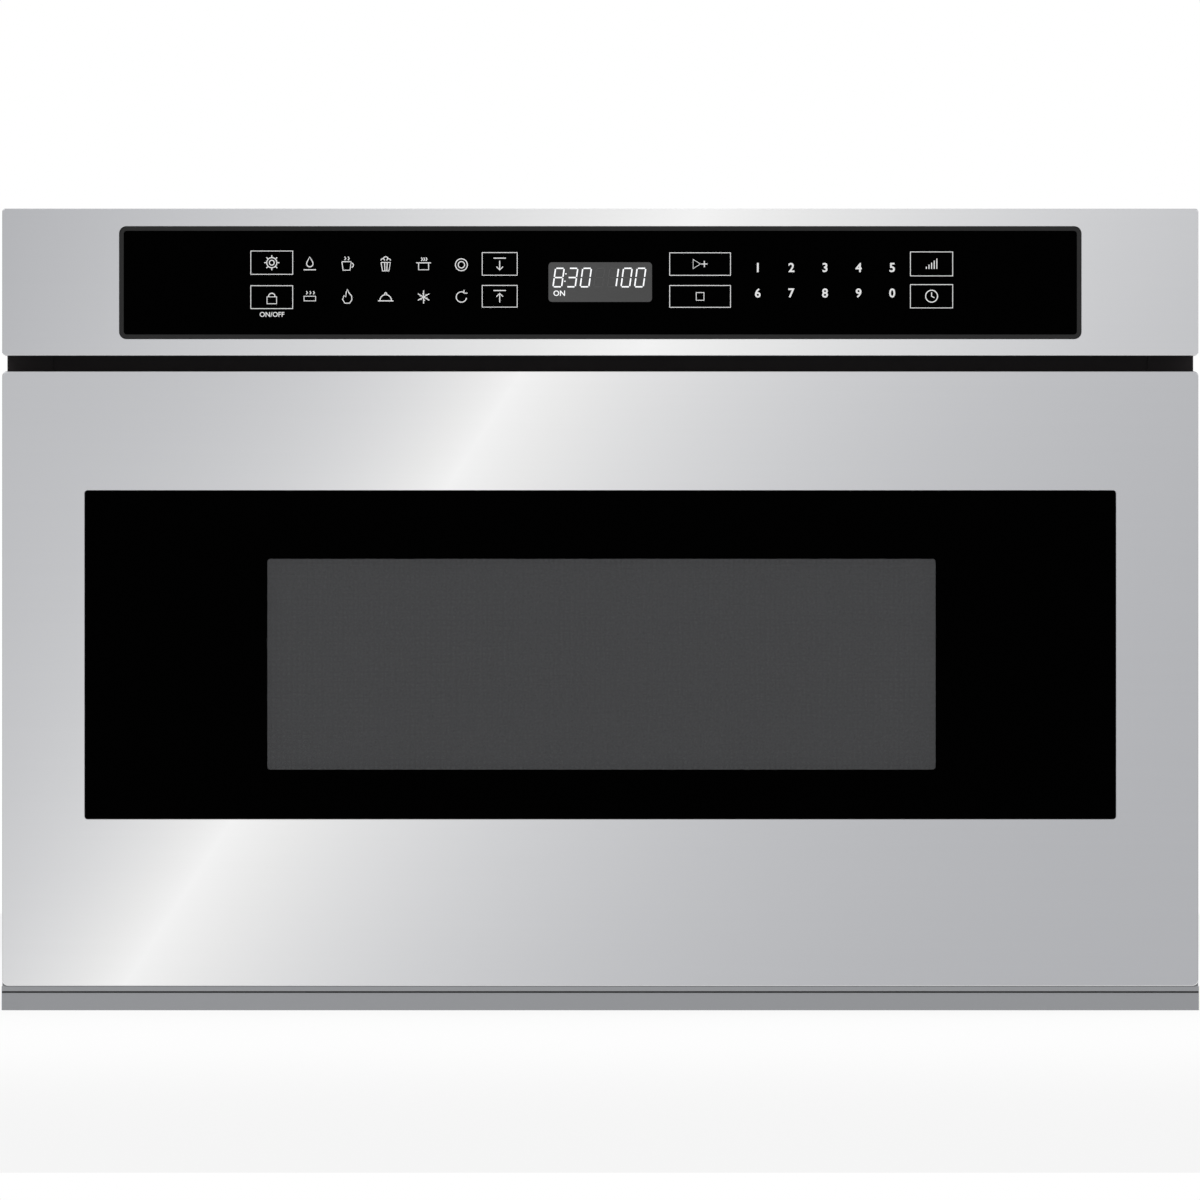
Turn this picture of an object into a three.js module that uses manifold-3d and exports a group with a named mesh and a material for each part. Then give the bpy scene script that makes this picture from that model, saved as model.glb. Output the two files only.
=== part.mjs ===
// Microwave drawer: a built-in oven whose door, cooking tub and shelf slide out together.
// Millimetres, +Z up. The drawer opens towards -Y. The origin lies under the middle of the unit.
import * as THREE from 'three';
import { mergeVertices } from 'three/addons/utils/BufferGeometryUtils.js';
import Module from 'manifold-3d';

const { PI, sin, cos, tan, acos } = Math;

// ------------------------------------------------------------------ driving dimensions
// overall
const depth = 594; // drawer face to the rear-most flange
const seat = 0.3; // gap left between two pieces that are screwed or clipped together
const sheet = 1.2; // folded sheet of the casing, the cavity and the stainless fronts

// stainless fronts
const frontWidth = 605.7;
const frontCorner = 2.3; // corner radius seen from the front
const frontEdge = 1.5; // rounding of the front edges
const frontReturn = 12; // inward lip at the back of a front
const drawerFrontBottom = 12.7;
const drawerFrontHeight = 310.9;
const drawerFrontDepth = 30;
const frontGap = 8.1; // between the drawer front and the control bezel
const bezelHeight = 74.3;
const doorGap = 3; // drawer front to the front frame behind it

// bottom trim
const trimOverhang = 0.35; // beyond each side of the fronts
const trimClearance = 0.5; // under the drawer front
const trimLip = 2.5; // height of the bright upper lip
const trimGroove = 0.9; // height of the shadow groove
const trimGrooveDepth = 3;
const trimSetback = 2; // lip behind the drawer face
const trimFaceSetback = 4; // lower face behind the drawer face
const trimFoot = 12; // return under the lower face
const trimEar = 22; // width of the end ears
const trimEarRise = 5.5; // ears above the drawer front's lower edge

// front frame, which overlaps the cabinet face
const frameInset = 2.2; // inside the fronts on each side
const frameSheet = 1.5;
const frameTopMargin = 3; // below the top of the bezel
const frameFoot = 1; // above the trim's lower edge
const flangeStep = 1; // cabinet flange forward of the frame's middle
const flangeOverlap = 1.5; // width of the step
const screwHole = 2.5; // radius of the holes in the cabinet flange
const screwHoleInset = 10.6; // from the frame's edge

// casing
const casingInset = 24.85; // inside the fronts on each side
const casingDrop = 21; // below the top of the bezel
const chassisBottom = 13;
const casingFlange = 14;
const glandFlange = 3; // cord gland behind the rear cover
const ventLength = 36;
const ventWidth = 4;
const ventPitch = 13;
const beadWidth = 18; // stiffening beads pressed out of the casing
const beadRise = 2;
const beadFront = 54; // front frame to the beads
const beadLength = 330;
const sideBeads = [96, 196]; // below the top of the casing
const topBeads = [-140, 0, 140]; // from the middle of the casing
const rearBeads = [-48, 48];
const rearBeadMargin = 46; // from the casing's top and bottom

// oven cavity
const cavityBeside = 48; // casing to the opening, with room for the slides
const cavityBelow = 75.3; // drawer front's lower edge to the opening
const cavityAbove = 55.6; // opening to the drawer front's upper edge
const cavityBehind = 128; // cavity to the rear cover, with room for the power parts
const cavityCorner = 8;
const cavityFlange = 12;
const domeSize = 210; // recess in the ceiling for the stirrer
const domeHeight = 16;
const domeBack = 222; // front frame to the middle of the dome
const feedRadius = 28;
const micaSheet = 1;
const micaMargin = 8;

// microwave feed and stirrer
const guideWidth = 80;
const guideHeight = 40;
const guideFront = 44; // ahead of the stirrer axis
const guideRear = 24; // behind the magnetron axis
const antennaRadius = 9;
const antennaClearance = 3;
const stirrerShaft = 3; // radius
const stirrerRadius = 84;
const stirrerBlades = 4;
const stirrerMotorRadius = 24;
const stirrerMotorHeight = 22;

// magnetron and its cooling
const magnetronWidth = 88;
const magnetronHeight = 64;
const magnetronDepth = 84;
const magnetronFins = 5;
const anodeRadius = 20;
const filterBox = 26; // height of the filter box below the magnetron
const magnetronRear = 18; // between the magnetron and the rear cover
const fanRadius = 50;
const fanTip = 4; // blade tip to ring
const fanRing = 22; // depth of the ring
const fanPlate = 122; // square mounting plate
const ductLength = 50;
const fanBlades = 5;
const fanHub = 15;
const fanShaft = 3;
const fanGap = 4; // blades to mounting plate
const fanMotorLength = 34;
const fanStackWidth = 52;
const fanStackHeight = 62;
const fanCoilWidth = 26;
const fanCoilHeight = 20;
const fanCoilOverhang = 7;
const bridgeLength = 44;
const bridgeSheet = 2;
const bearingRadius = 9;
const bridgePost = 2.5; // radius
const ductHeight = 60; // outlet of the duct, at the magnetron
const ductGap = 8; // outlet to the magnetron

// power parts
const coreWidth = 96;
const coreHeight = 80;
const coreStack = 52;
const coreSide = 40; // between the transformer's foot and the side panel
const footReach = 13; // feet beyond the transformer and the capacitor
const coreLeg = 16;
const capacitorWidth = 54;
const capacitorDepth = 34;
const capacitorHeight = 84;
const capacitorGap = 4; // between its feet and the transformer's
const filterBoardWidth = 84;
const filterBoardDepth = 66;
const filterBoardSide = 45; // between the board and the side panel
const boardStandoff = 7;
const boardMargin = 6; // board's edge to a standoff
const chokeCoil = 13; // radius of the filter's coil
const chokeRise = 14;
const filterCapacitor = [18, 26, 16]; // width, depth and height
const fuseHolder = [24, 10, 11];
const smallCan = 5; // radius
const smallCanRise = 9;
const boardSheet = 1.6;
const lampBack = 60; // lamp ahead of the cavity's back wall
const lampReach = 32; // cavity wall to the lamp holder
const lampTip = 5; // bulb to the cavity wall
const bulbRadius = 11;
const socketDepth = 8;
const holderWidth = 44;
const sensorReach = 17; // cavity wall to the humidity sensor's bracket
const sensorRadius = 7;
const sensorDepth = 11;
const sensorHeight = 30;
const sensorPlug = [12, 18]; // depth and height
const sensorPlugRise = 7;
const glandRadius = 9;
const glandSide = 42; // from the side of the casing
const glandHeight = 70;

// telescopic slides
const slideLength = 400;
const slideHeight = 45.8;
const slideWidth = 12.7;
const slideCentre = 110; // height of the slides above the trim's lower edge
const railSheet = 1.2;
const ballRadius = 1.8;
const ballGap = 0.15; // running gap between ball and raceway
const ballInset = 6; // outer ball row from the casing side
const ballStep = 3.4; // inner ball row from the outer one
const cageSheet = 0.6;
const cageGap = 0.4;
const cageLength = 200;
const cageStart = 98; // from the front end of the rail
const cageBalls = 3;
const slotClearance = 1;

// rack drive
const gearModule = 2;
const pinionTeeth = 18;
const pressureAngle = 20 * PI / 180;
const backlash = 0.36; // at the pitch line
const pinionFloorGap = 2.88; // tooth tips to the base pan
const rackWidth = 10;
const rackHeadWidth = 18;
const rackHeadHeight = 6;
const rackBackGap = 0.9; // rack to the plane of the cavity's back
const rackFront = 3.9; // drawer side of the front frame
const pinionWidth = 12;
const pinionBack = 32; // behind the front frame
const pinionShaft = 4; // radius
const shaftClearance = 0.3;
const shaftFacets = 16;
const driveSheet = 1.5;
const driveCheek = 14; // middle plane to the outer side of a bracket cheek
const gearCase = 24; // thickness of the gear case
const motorRadius = 17;
const motorLength = 50;
const motorBack = 30; // behind the pinion axis
const guideWall = 2;
const guideClearance = 0.4;
const guideWing = 25; // half width under the cavity

// drawer front, from the outside in
const glassBeside = 41.8; // stainless beside the glass
const glassBelow = 84.2; // stainless below it
const glassHeight = 166.3;
const glassThickness = 4;
const glassCorner = 1.5;
const windowBeside = 91.85; // black border beside the window
const windowBelow = 25; // black border below it
const windowAbove = 34.6; // and above it
const windowMargin = 4; // openings behind the window are this much larger
const retainerBorder = 12;
const retainerSheet = 1.5;
const screenSheet = 0.8;
const screenMargin = 8;
const chokeGap = 4; // choke slot outside the cavity opening
const chokeWidth = 12;
const chokeDepth = 16;
const chokeCoverLap = 2;
const chokeCoverSheet = 1.6;
const innerWindowSheet = 3;

// tub and shelf
const tubBeside = 10; // tub's inside to the cavity wall
const tubBehind = 11.8;
const tubHeadroom = 19; // tub's rim to the cavity ceiling
const tubCorner = 14;
const tubLift = 4; // over the cavity floor
const tubRim = 5;
const shelfSheet = 5;
const shelfMargin = 3;
const shelfLedge = 10;
const shelfLedgeHeight = 3.3;

// latch hooks and door switches
const hookInset = 20; // from the side of the cavity opening
const hookRise = 34; // above the cavity opening
const hookSheet = 3;
const hookReach = 34; // behind the drawer front
const hookWidth = 16;
const switchLength = 20;

// control panel
const controlBeside = 59.35; // stainless beside the control glass
const controlBelow = 8.4;
const controlAbove = 9.1;
const controlCorner = 3.5;
const controlRim = 2.1;
const controlGlassSheet = 4;
const carrierFlange = 6;
const carrierSheet = 1.5;
const displayWidth = 60;
const displayHeight = 28;
const displayX = 0; // middle of the display
const boardInset = 53.5; // control board inside each end of the control glass
const carrierPost = 6;
const chipWidth = 22;
const chipHeight = 17;
const chipRise = 13;
const plugWidth = 18;
const plugHeight = 6;
const plugRise = 9;
const buzzerRadius = 8;
const buzzerRise = 12;

// ------------------------------------------------------------------ places worked out from them
const frameWidth = frontWidth - 2 * frameInset;
const trimWidth = frontWidth + 2 * trimOverhang;
const chassisWidth = frontWidth - 2 * casingInset;
const frontFace = -depth / 2;
const rearFace = depth / 2 - glandFlange;
const doorBack = frontFace + drawerFrontDepth;
const frameFront = doorBack + doorGap;
const frameBack = frameFront + frameSheet;
const flangeFront = frameFront - flangeStep;
const drawerFrontTop = drawerFrontBottom + drawerFrontHeight;
const bezelBottom = drawerFrontTop + frontGap;
const bezelTop = bezelBottom + bezelHeight;
const behindFrame = frameBack + seat;
const casingX = chassisWidth / 2 - sheet; // inner face of a side panel
const chassisTop = bezelTop - casingDrop;
const floorTop = chassisBottom + sheet;
const casingBack = rearFace - sheet - seat; // rear edge of the side panels
const rearInner = rearFace - sheet; // inner face of the rear cover
const cavityWidth = chassisWidth - 2 * cavityBeside;
const cavityBottom = drawerFrontBottom + cavityBelow;
const cavityTop = drawerFrontTop - cavityAbove;
const cavityBack = rearInner - cavityBehind;
const plateBack = doorBack - sheet - seat; // rear face of the inner door frame
const plateFront = plateBack - frameSheet;
const behindPlate = plateBack + seat;
const stirrerY = frameBack + domeBack;
const domeTop = cavityTop + domeHeight;
const guideBottom = domeTop + sheet + seat;
const guideTop = guideBottom + guideHeight;
const magnetronY = rearInner - Math.max(magnetronRear + magnetronDepth / 2, fanPlate / 2 + seat);
const magnetronTop = guideBottom - seat;
const magnetronBottom = magnetronTop - magnetronHeight;
const fanZ = magnetronBottom + magnetronHeight / 2;
const fanX = -magnetronWidth / 2 - ductGap - ductLength - fanRing; // plane of the mounting plate
const coreX = casingX - coreSide - footReach - coreWidth / 2;
const capacitorX = coreX - (coreWidth + capacitorWidth) / 2 - 2 * footReach - capacitorGap;
const filterBoardX = filterBoardSide + filterBoardWidth / 2 - casingX;
const glandX = glandSide - chassisWidth / 2;
const slideX = casingX - seat; // casing side of a slide
const pinionRadius = gearModule * pinionTeeth / 2;
const pinionTip = pinionRadius + gearModule * 0.96;
const pinionY = frameBack + pinionBack;
const pinionZ = floorTop + pinionFloorGap + pinionTip;
const rackPitchHeight = pinionZ + pinionRadius;
const rackTip = rackPitchHeight - gearModule;
const rackRoot = rackPitchHeight + 1.25 * gearModule;
const rackHeadTop = rackPitchHeight + 6.5 * gearModule;
const rackHeadBottom = rackHeadTop - rackHeadHeight;
const rackStart = frameFront - rackFront + seat + driveSheet;
const rackLength = cavityBack - rackBackGap - rackStart;
const tubBottom = cavityBottom + tubLift;
const tubFloor = tubBottom + sheet;
const tubWidth = cavityWidth - 2 * tubBeside;
const tubTop = cavityTop - tubHeadroom;
const glassWidth = frontWidth - 2 * glassBeside;
const glassBottom = drawerFrontBottom + glassBelow;
const hookX = cavityWidth / 2 - hookInset;
const hookHeight = cavityTop + hookRise;
const controlWidth = frontWidth - 2 * controlBeside;
const controlBottom = bezelBottom + controlBelow;
const controlHeight = bezelHeight - controlBelow - controlAbove;
const controlBoardWidth = controlWidth - 2 * boardInset;

// ------------------------------------------------------------------ shapes and solids
const wasm = await Module();
wasm.setup();

const span = (centre, size) => [centre - size / 2, centre + size / 2];
const grow = ([low, high], margin) => [low - margin, high + margin];

// Points on an arc about a centre, from one angle to another in degrees.
function arc([cx, cy], radius, from, to, steps = 6) {
  return Array.from({ length: steps + 1 }, (_, i) => {
    const angle = (from + (to - from) * i / steps) * PI / 180;
    return [cx + radius * cos(angle), cy + radius * sin(angle)];
  });
}

const outline = (points) => new THREE.Shape(points.map(([x, y]) => new THREE.Vector2(x, y)));

// Facets in a quarter turn: few on a small radius, more on a large one.
function quarterSteps(radius) {
  if (radius < 6) {
    return 2;
  }
  return radius < 25 ? 3 : 4;
}

// A rectangle with rounded corners, in the two directions of its plane.
function panel([x0, x1], [y0, y1], radius = 0) {
  if (radius <= 0) {
    return outline([[x0, y0], [x1, y0], [x1, y1], [x0, y1]]);
  }
  const steps = quarterSteps(radius);
  return outline([
    ...arc([x1 - radius, y0 + radius], radius, -90, 0, steps),
    ...arc([x1 - radius, y1 - radius], radius, 0, 90, steps),
    ...arc([x0 + radius, y1 - radius], radius, 90, 180, steps),
    ...arc([x0 + radius, y0 + radius], radius, 180, 270, steps),
  ]);
}

// A slot with round ends, along the longer of its two directions.
function slot([x0, x1], [y0, y1], steps = 2) {
  const radius = Math.min(x1 - x0, y1 - y0) / 2;
  if (x1 - x0 > y1 - y0) {
    const y = (y0 + y1) / 2;
    return outline([
      ...arc([x1 - radius, y], radius, -90, 90, steps),
      ...arc([x0 + radius, y], radius, 90, 270, steps),
    ]);
  }
  const x = (x0 + x1) / 2;
  return outline([
    ...arc([x, y1 - radius], radius, 0, 180, steps),
    ...arc([x, y0 + radius], radius, 180, 360, steps),
  ]);
}

// A round hole or disc.
function disc(x, y, radius) {
  return outline(arc([x, y], radius, 0, 360, 4 * quarterSteps(radius)).slice(0, -1));
}

function pierced(shape, ...holes) {
  shape.holes.push(...holes);
  return shape;
}

// The outline of a bent sheet: its middle line, made thick, with mitred bends.
function bent(line, thickness) {
  const sides = [[], []];
  line.forEach(([x, y], i) => {
    const before = line[i - 1] ?? [2 * x - line[1][0], 2 * y - line[1][1]];
    const after = line[i + 1] ?? [2 * x - before[0], 2 * y - before[1]];
    const inward = new THREE.Vector2(x - before[0], y - before[1]).normalize();
    const outward = new THREE.Vector2(after[0] - x, after[1] - y).normalize();
    const across = new THREE.Vector2(-inward.y - outward.y, inward.x + outward.x).normalize();
    const reach = thickness / 2 / (across.x * -inward.y + across.y * inward.x);
    sides[0].push(new THREE.Vector2(x + across.x * reach, y + across.y * reach));
    sides[1].unshift(new THREE.Vector2(x - across.x * reach, y - across.y * reach));
  });
  return new THREE.Shape([...sides[0], ...sides[1]]);
}

function extruded(shape, length) {
  return new THREE.ExtrudeGeometry(shape, { depth: length, bevelEnabled: false });
}

// Outlines in X and Z, Y and Z, or X and Y, extruded along the third axis.
const alongY = (shape, [y0, y1]) => extruded(shape, y1 - y0).rotateX(PI / 2).translate(0, y1, 0);
const alongZ = (shape, [z0, z1]) => extruded(shape, z1 - z0).translate(0, 0, z0);
const towardsX = new THREE.Matrix4().makeBasis(
  new THREE.Vector3(0, 1, 0),
  new THREE.Vector3(0, 0, 1),
  new THREE.Vector3(1, 0, 0),
);
const alongX = (shape, [x0, x1]) => extruded(shape, x1 - x0).applyMatrix4(towardsX).translate(x0, 0, 0);

function block([x0, x1], [y0, y1], [z0, z1]) {
  return new THREE.BoxGeometry(x1 - x0, y1 - y0, z1 - z0)
    .translate((x0 + x1) / 2, (y0 + y1) / 2, (z0 + z1) / 2);
}

// A round bar or cone along one axis, through the point where it crosses the other two.
function bar(axis, [a, b], [from, to], radius, endRadius = radius, segments = 0) {
  const facets = segments || 4 * quarterSteps(radius);
  const geometry = new THREE.CylinderGeometry(endRadius, radius, to - from, facets);
  geometry.translate(0, (from + to) / 2, 0);
  if (axis === 'x') {
    return geometry.rotateZ(-PI / 2).translate(0, a, b);
  }
  if (axis === 'z') {
    return geometry.rotateX(PI / 2).translate(a, b, 0);
  }
  return geometry.translate(a, 0, b);
}

function toManifold(geometry) {
  const bare = geometry.clone();
  bare.deleteAttribute('normal');
  bare.deleteAttribute('uv');
  const merged = mergeVertices(bare, 1e-4);
  return new wasm.Manifold(new wasm.Mesh({
    numProp: 3,
    vertProperties: new Float32Array(merged.attributes.position.array),
    triVerts: new Uint32Array(merged.index.array),
  }));
}

function toGeometry(manifold) {
  const mesh = manifold.getMesh();
  const geometry = new THREE.BufferGeometry();
  geometry.setAttribute('position', new THREE.BufferAttribute(mesh.vertProperties, 3));
  geometry.setIndex(new THREE.BufferAttribute(mesh.triVerts, 1));
  geometry.computeVertexNormals();
  return geometry;
}

const join = (...pieces) => toGeometry(pieces.map(toManifold).reduce((all, next) => all.add(next)));
const cut = (body, ...tools) => toGeometry(
  tools.map(toManifold).reduce((left, tool) => left.subtract(tool), toManifold(body)),
);

// ------------------------------------------------------------------ the model
const microwaveDrawer = new THREE.Group();

const finishes = {
  stainless: [0xb9bbbe, 0.32, 1],
  steel: [0x8f9296, 0.45, 0.9],
  zinc: [0xa8abae, 0.4, 0.9],
  blackSteel: [0x232021, 0.5, 0.3],
  blackPlastic: [0x1c1c1d, 0.5, 0],
  greyPlastic: [0x6d6f72, 0.5, 0],
  whitePlastic: [0xe4e2dc, 0.45, 0],
  blackGlass: [0x050506, 0.06, 0],
  clearGlass: [0x9fa6a6, 0.05, 0],
  ceramic: [0xd9d6cc, 0.3, 0],
  enamel: [0x8b8d8f, 0.4, 0.2],
  mica: [0xb9a27c, 0.6, 0],
  aluminium: [0xb4b7ba, 0.35, 0.9],
  circuitBoard: [0x2f5d3a, 0.6, 0],
  rubber: [0x161616, 0.8, 0],
};

function add(name, geometry, finish) {
  const [color, roughness, metalness] = finishes[finish];
  const material = new THREE.MeshStandardMaterial({ color, roughness, metalness });
  const mesh = new THREE.Mesh(geometry, material);
  mesh.name = name;
  microwaveDrawer.add(mesh);
}

const hands = [['left', -1], ['right', 1]];

// ------------------------------------------------------------------ stainless fronts
// A folded pan, open to the back, with rounded front edges and a lip turned inward behind.
function foldedFront([z0, z1], back, opening) {
  const half = frontWidth / 2;
  const length = back - frontFace + frontEdge;
  const blank = new THREE.ExtrudeGeometry(panel([-half, half], [z0, z1], frontCorner), {
    depth: length - 2 * frontEdge,
    bevelThickness: frontEdge,
    bevelSize: frontEdge,
    bevelOffset: -frontEdge,
    bevelSegments: 3,
  });
  blank.translate(0, 0, frontEdge).rotateX(PI / 2).translate(0, frontFace + length, 0);
  const inside = half - sheet;
  const height = [z0 + sheet, z1 - sheet];
  const pocket = block([-inside, inside], [frontFace + sheet, back - sheet], height);
  const mouthHeight = grow(height, -frontReturn);
  const mouth = block(
    [frontReturn - inside, inside - frontReturn],
    [back - 2 * sheet, back + frontEdge],
    mouthHeight,
  );
  const excess = block([-half - 1, half + 1], [back, back + 2 * frontEdge], [z0 - 1, z1 + 1]);
  return cut(blank, excess, pocket, mouth, alongY(opening, [frontFace - 1, frontFace + 2 * sheet]));
}

const glassHigh = [glassBottom, glassBottom + glassHeight];
add('drawer_front_panel', foldedFront(
  [drawerFrontBottom, drawerFrontTop],
  doorBack,
  panel(grow(span(0, glassWidth), seat), grow(glassHigh, seat), glassCorner),
), 'stainless');

const controlHigh = [controlBottom, controlBottom + controlHeight];
add('control_bezel', foldedFront(
  [bezelBottom, bezelTop],
  flangeFront - seat,
  panel(grow(span(0, controlWidth), seat), grow(controlHigh, seat), controlCorner),
), 'stainless');

// The trim is one folded strip: back flange, bright lip, shadow groove, lower face and foot.
function bottomTrim() {
  const back = flangeFront - seat - sheet / 2;
  const top = drawerFrontBottom - trimClearance - sheet / 2;
  const lip = frontFace + trimSetback + sheet / 2;
  const lipEnd = top - trimLip + sheet;
  const faceTop = lipEnd - trimGroove - sheet;
  const groove = lip + trimGrooveDepth;
  const face = frontFace + trimFaceSetback + sheet / 2;
  const profile = bent([
    [back, frameFoot],
    [back, top],
    [lip, top],
    [lip, lipEnd],
    [groove + sheet, lipEnd],
    [groove + sheet, faceTop],
    [face, faceTop],
    [face, sheet / 2],
    [face + trimFoot, sheet / 2],
  ], sheet);
  const half = trimWidth / 2;
  const earTop = drawerFrontBottom + trimEarRise;
  const ears = hands.map(([, side]) => block(
    [side * half, side * (half - trimEar)].sort((a, b) => a - b),
    [back - sheet / 2, back + sheet / 2],
    [top, earTop],
  ));
  return join(alongX(profile, [-half, half]), ...ears);
}

add('bottom_trim', bottomTrim(), 'stainless');

// ------------------------------------------------------------------ front frame and casing
function slideSlot(side) {
  const inner = slideX - slideWidth - seat - driveSheet - slotClearance;
  const outer = slideX - 2 * railSheet + slotClearance;
  const half = slideHeight / 2 - ballRadius * 2 - 2 * ballGap + slotClearance;
  return panel([side * inner, side * outer].sort((a, b) => a - b), span(slideCentre, 2 * half));
}

function frontFrame() {
  const half = chassisWidth / 2 + slotClearance;
  const low = chassisBottom + slotClearance;
  const high = chassisTop + slotClearance;
  const opening = panel(span(0, cavityWidth), [cavityBottom, cavityTop], cavityCorner);
  const cheek = rackHeadWidth / 2 + seat + driveSheet;
  const rackSlot = panel(
    [-cheek - 2 * slotClearance, cheek + 2 * slotClearance],
    [rackTip - 2 * slotClearance, rackHeadTop + 2 * slotClearance],
  );
  const hookSlots = hands.map(([, side]) => panel(
    span(side * hookX, hookSheet + 4 * slotClearance),
    span(hookHeight, hookWidth + 4 * slotClearance),
  ));
  const through = [frameFront - 1, frameBack + 1];
  const openings = [opening, rackSlot, slideSlot(-1), slideSlot(1), ...hookSlots];
  const reach = frameWidth / 2;
  const frameHigh = [frameFoot, bezelTop - frameTopMargin];
  const flange = pierced(
    panel([-reach, reach], frameHigh, frontCorner),
    panel(
      [flangeOverlap - half, half - flangeOverlap],
      [low + flangeOverlap, high - flangeOverlap],
    ),
  );
  const holes = [0.15, 0.5, 0.85].flatMap((share) => hands.map(([, side]) => bar(
    'y',
    [side * (reach - screwHoleInset), frameHigh[0] + share * (frameHigh[1] - frameHigh[0])],
    [flangeFront - 1, frameBack + 1],
    screwHole,
  )));
  const plates = join(
    alongY(panel([-half, half], [low, high]), [frameFront, frameBack]),
    alongY(flange, [flangeFront, flangeFront + frameSheet]),
  );
  return cut(plates, ...openings.map((shape) => alongY(shape, through)), ...holes);
}

add('front_frame', frontFrame(), 'blackSteel');

// Floor and roof are trays between the side panels, folded up or down along both sides.
function casingTray(outside, towards) {
  const x = casingX - seat - sheet / 2;
  const z = outside + towards * sheet / 2;
  return alongY(bent([
    [-x, z + towards * casingFlange],
    [-x, z],
    [x, z],
    [x, z + towards * casingFlange],
  ], sheet), [behindFrame, casingBack - sheet - seat]);
}

// A row of slots with round ends, as tools that run through a wall along one axis.
const runs = { x: alongX, y: alongY, z: alongZ };

function ventRow(axis, count, middle, height, through) {
  return Array.from({ length: count }, (_, i) => {
    const across = middle + (i - (count - 1) / 2) * ventPitch;
    return runs[axis](slot(span(across, ventWidth), span(height, ventLength)), through);
  });
}

// A stiffening bead: its ridge stands out of the sheet, and its hollow is cut from the other side.
function bead(axis, across, along, outside, towards) {
  const reach = (from, to) => [from, to].map((step) => outside + towards * step).sort((a, b) => a - b);
  const steps = 3;
  const ridge = slot(across, along, steps);
  const hollow = slot(grow(across, -sheet), grow(along, -sheet), steps);
  return {
    ridge: runs[axis](ridge, reach(-sheet / 2, beadRise)),
    hollow: runs[axis](hollow, reach(-2 * sheet, beadRise - sheet)),
  };
}

function beaded(body, beads, ...tools) {
  const pressed = join(body, ...beads.map(({ ridge }) => ridge));
  return cut(pressed, ...beads.map(({ hollow }) => hollow), ...tools);
}

const beadRun = [behindFrame + beadFront, behindFrame + beadFront + beadLength];

const wallZ = (outside, towards) => [outside - 1, outside + 1].map((z) => z + towards * sheet / 2);

add('base_pan', cut(
  casingTray(chassisBottom, 1),
  ...ventRow('z', 5, filterBoardX, magnetronY - filterBoardDepth, wallZ(chassisBottom, 1)),
), 'zinc');
add('top_cover', beaded(
  casingTray(chassisTop, -1),
  topBeads.map((x) => bead('z', span(x, beadWidth), beadRun, chassisTop, 1)),
), 'zinc');

// A side panel has a flange turned inward at the back, to which the rear cover is screwed.
function sidePanel(side) {
  const x = side * (casingX + sheet / 2);
  const plan = bent([
    [x, behindFrame],
    [x, casingBack - sheet / 2],
    [x - side * casingFlange, casingBack - sheet / 2],
  ], sheet);
  const wall = [x - sheet, x + sheet];
  const outside = x + side * sheet / 2;
  return beaded(
    alongZ(plan, [chassisBottom, chassisTop]),
    sideBeads.map((drop) => bead('x', beadRun, span(chassisTop - drop, beadWidth), outside, side)),
    ...ventRow('x', 5, magnetronY, chassisTop - ventLength, wall),
  );
}

for (const [hand, side] of hands) {
  add(`${hand}_side_panel`, sidePanel(side), 'zinc');
}

function rearCover() {
  const sheetOutline = panel(span(0, chassisWidth), [chassisBottom, chassisTop], 2);
  const wall = [rearFace - 2 * sheet, rearFace + sheet];
  const gland = bar('y', [glandX, glandHeight], wall, glandRadius + seat);
  const beadHigh = [chassisBottom + rearBeadMargin, chassisTop - rearBeadMargin];
  return beaded(
    alongY(sheetOutline, [rearFace - sheet, rearFace]),
    rearBeads.map((x) => bead('y', span(x, beadWidth), beadHigh, rearFace, 1)),
    gland,
    ...ventRow('y', 5, fanX - fanPlate / 2, fanZ + ventLength * 0.6, wall),
    ...ventRow('y', 5, fanX - fanPlate / 2, fanZ - ventLength * 0.6, wall),
    ...ventRow('y', 5, coreX, fanZ, wall),
    ...ventRow('y', 5, coreX, coreHeight, wall),
  );
}

add('rear_cover', rearCover(), 'zinc');

// The cord inlet: a flanged bush that grips the rear cover. No cord is fitted.
function cordGland() {
  const inner = rearFace - sheet;
  const middle = [glandX, glandHeight];
  const body = join(
    bar('y', middle, [rearFace + seat, rearFace + glandFlange], glandRadius * 1.5),
    bar('y', middle, [inner - seat - 8, rearFace + 2 * seat], glandRadius),
    bar('y', middle, [inner - seat - 3, inner - seat], glandRadius * 1.25),
  );
  return cut(body, bar('y', middle, [inner - 12, rearFace + glandFlange + 1], glandRadius * 0.55));
}

add('cord_gland', cordGland(), 'rubber');

// ------------------------------------------------------------------ oven cavity
function cavityShell() {
  const inner = [span(0, cavityWidth), [cavityBottom, cavityTop]];
  const outer = inner.map((range) => grow(range, sheet));
  const flange = inner.map((range) => grow(range, cavityFlange));
  const domeX = span(0, domeSize);
  const domeY = span(stirrerY, domeSize);
  const body = join(
    alongY(panel(...outer, cavityCorner + sheet), [behindFrame, cavityBack + sheet]),
    alongY(panel(...flange, cavityCorner), [behindFrame, behindFrame + sheet]),
    alongZ(panel(grow(domeX, sheet), grow(domeY, sheet), cavityCorner), [cavityTop, domeTop + sheet]),
  );
  const ventY = cavityBack - lampBack;
  const ventZ = cavityTop - ventLength;
  const lampRow = ventRow('x', 4, ventY, ventZ, span(-cavityWidth / 2, 4 * sheet));
  const exhaustRow = ventRow('x', 5, ventY, ventZ, span(cavityWidth / 2, 4 * sheet));
  return cut(
    body,
    alongY(panel(...inner, cavityCorner), [behindFrame - 1, cavityBack]),
    alongZ(panel(domeX, domeY, cavityCorner), [cavityTop - 1, domeTop]),
    bar('z', [0, stirrerY], [domeTop - 1, domeTop + 2 * sheet], feedRadius),
    ...lampRow,
    ...exhaustRow,
  );
}

add('cavity_shell', cavityShell(), 'enamel');

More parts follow.
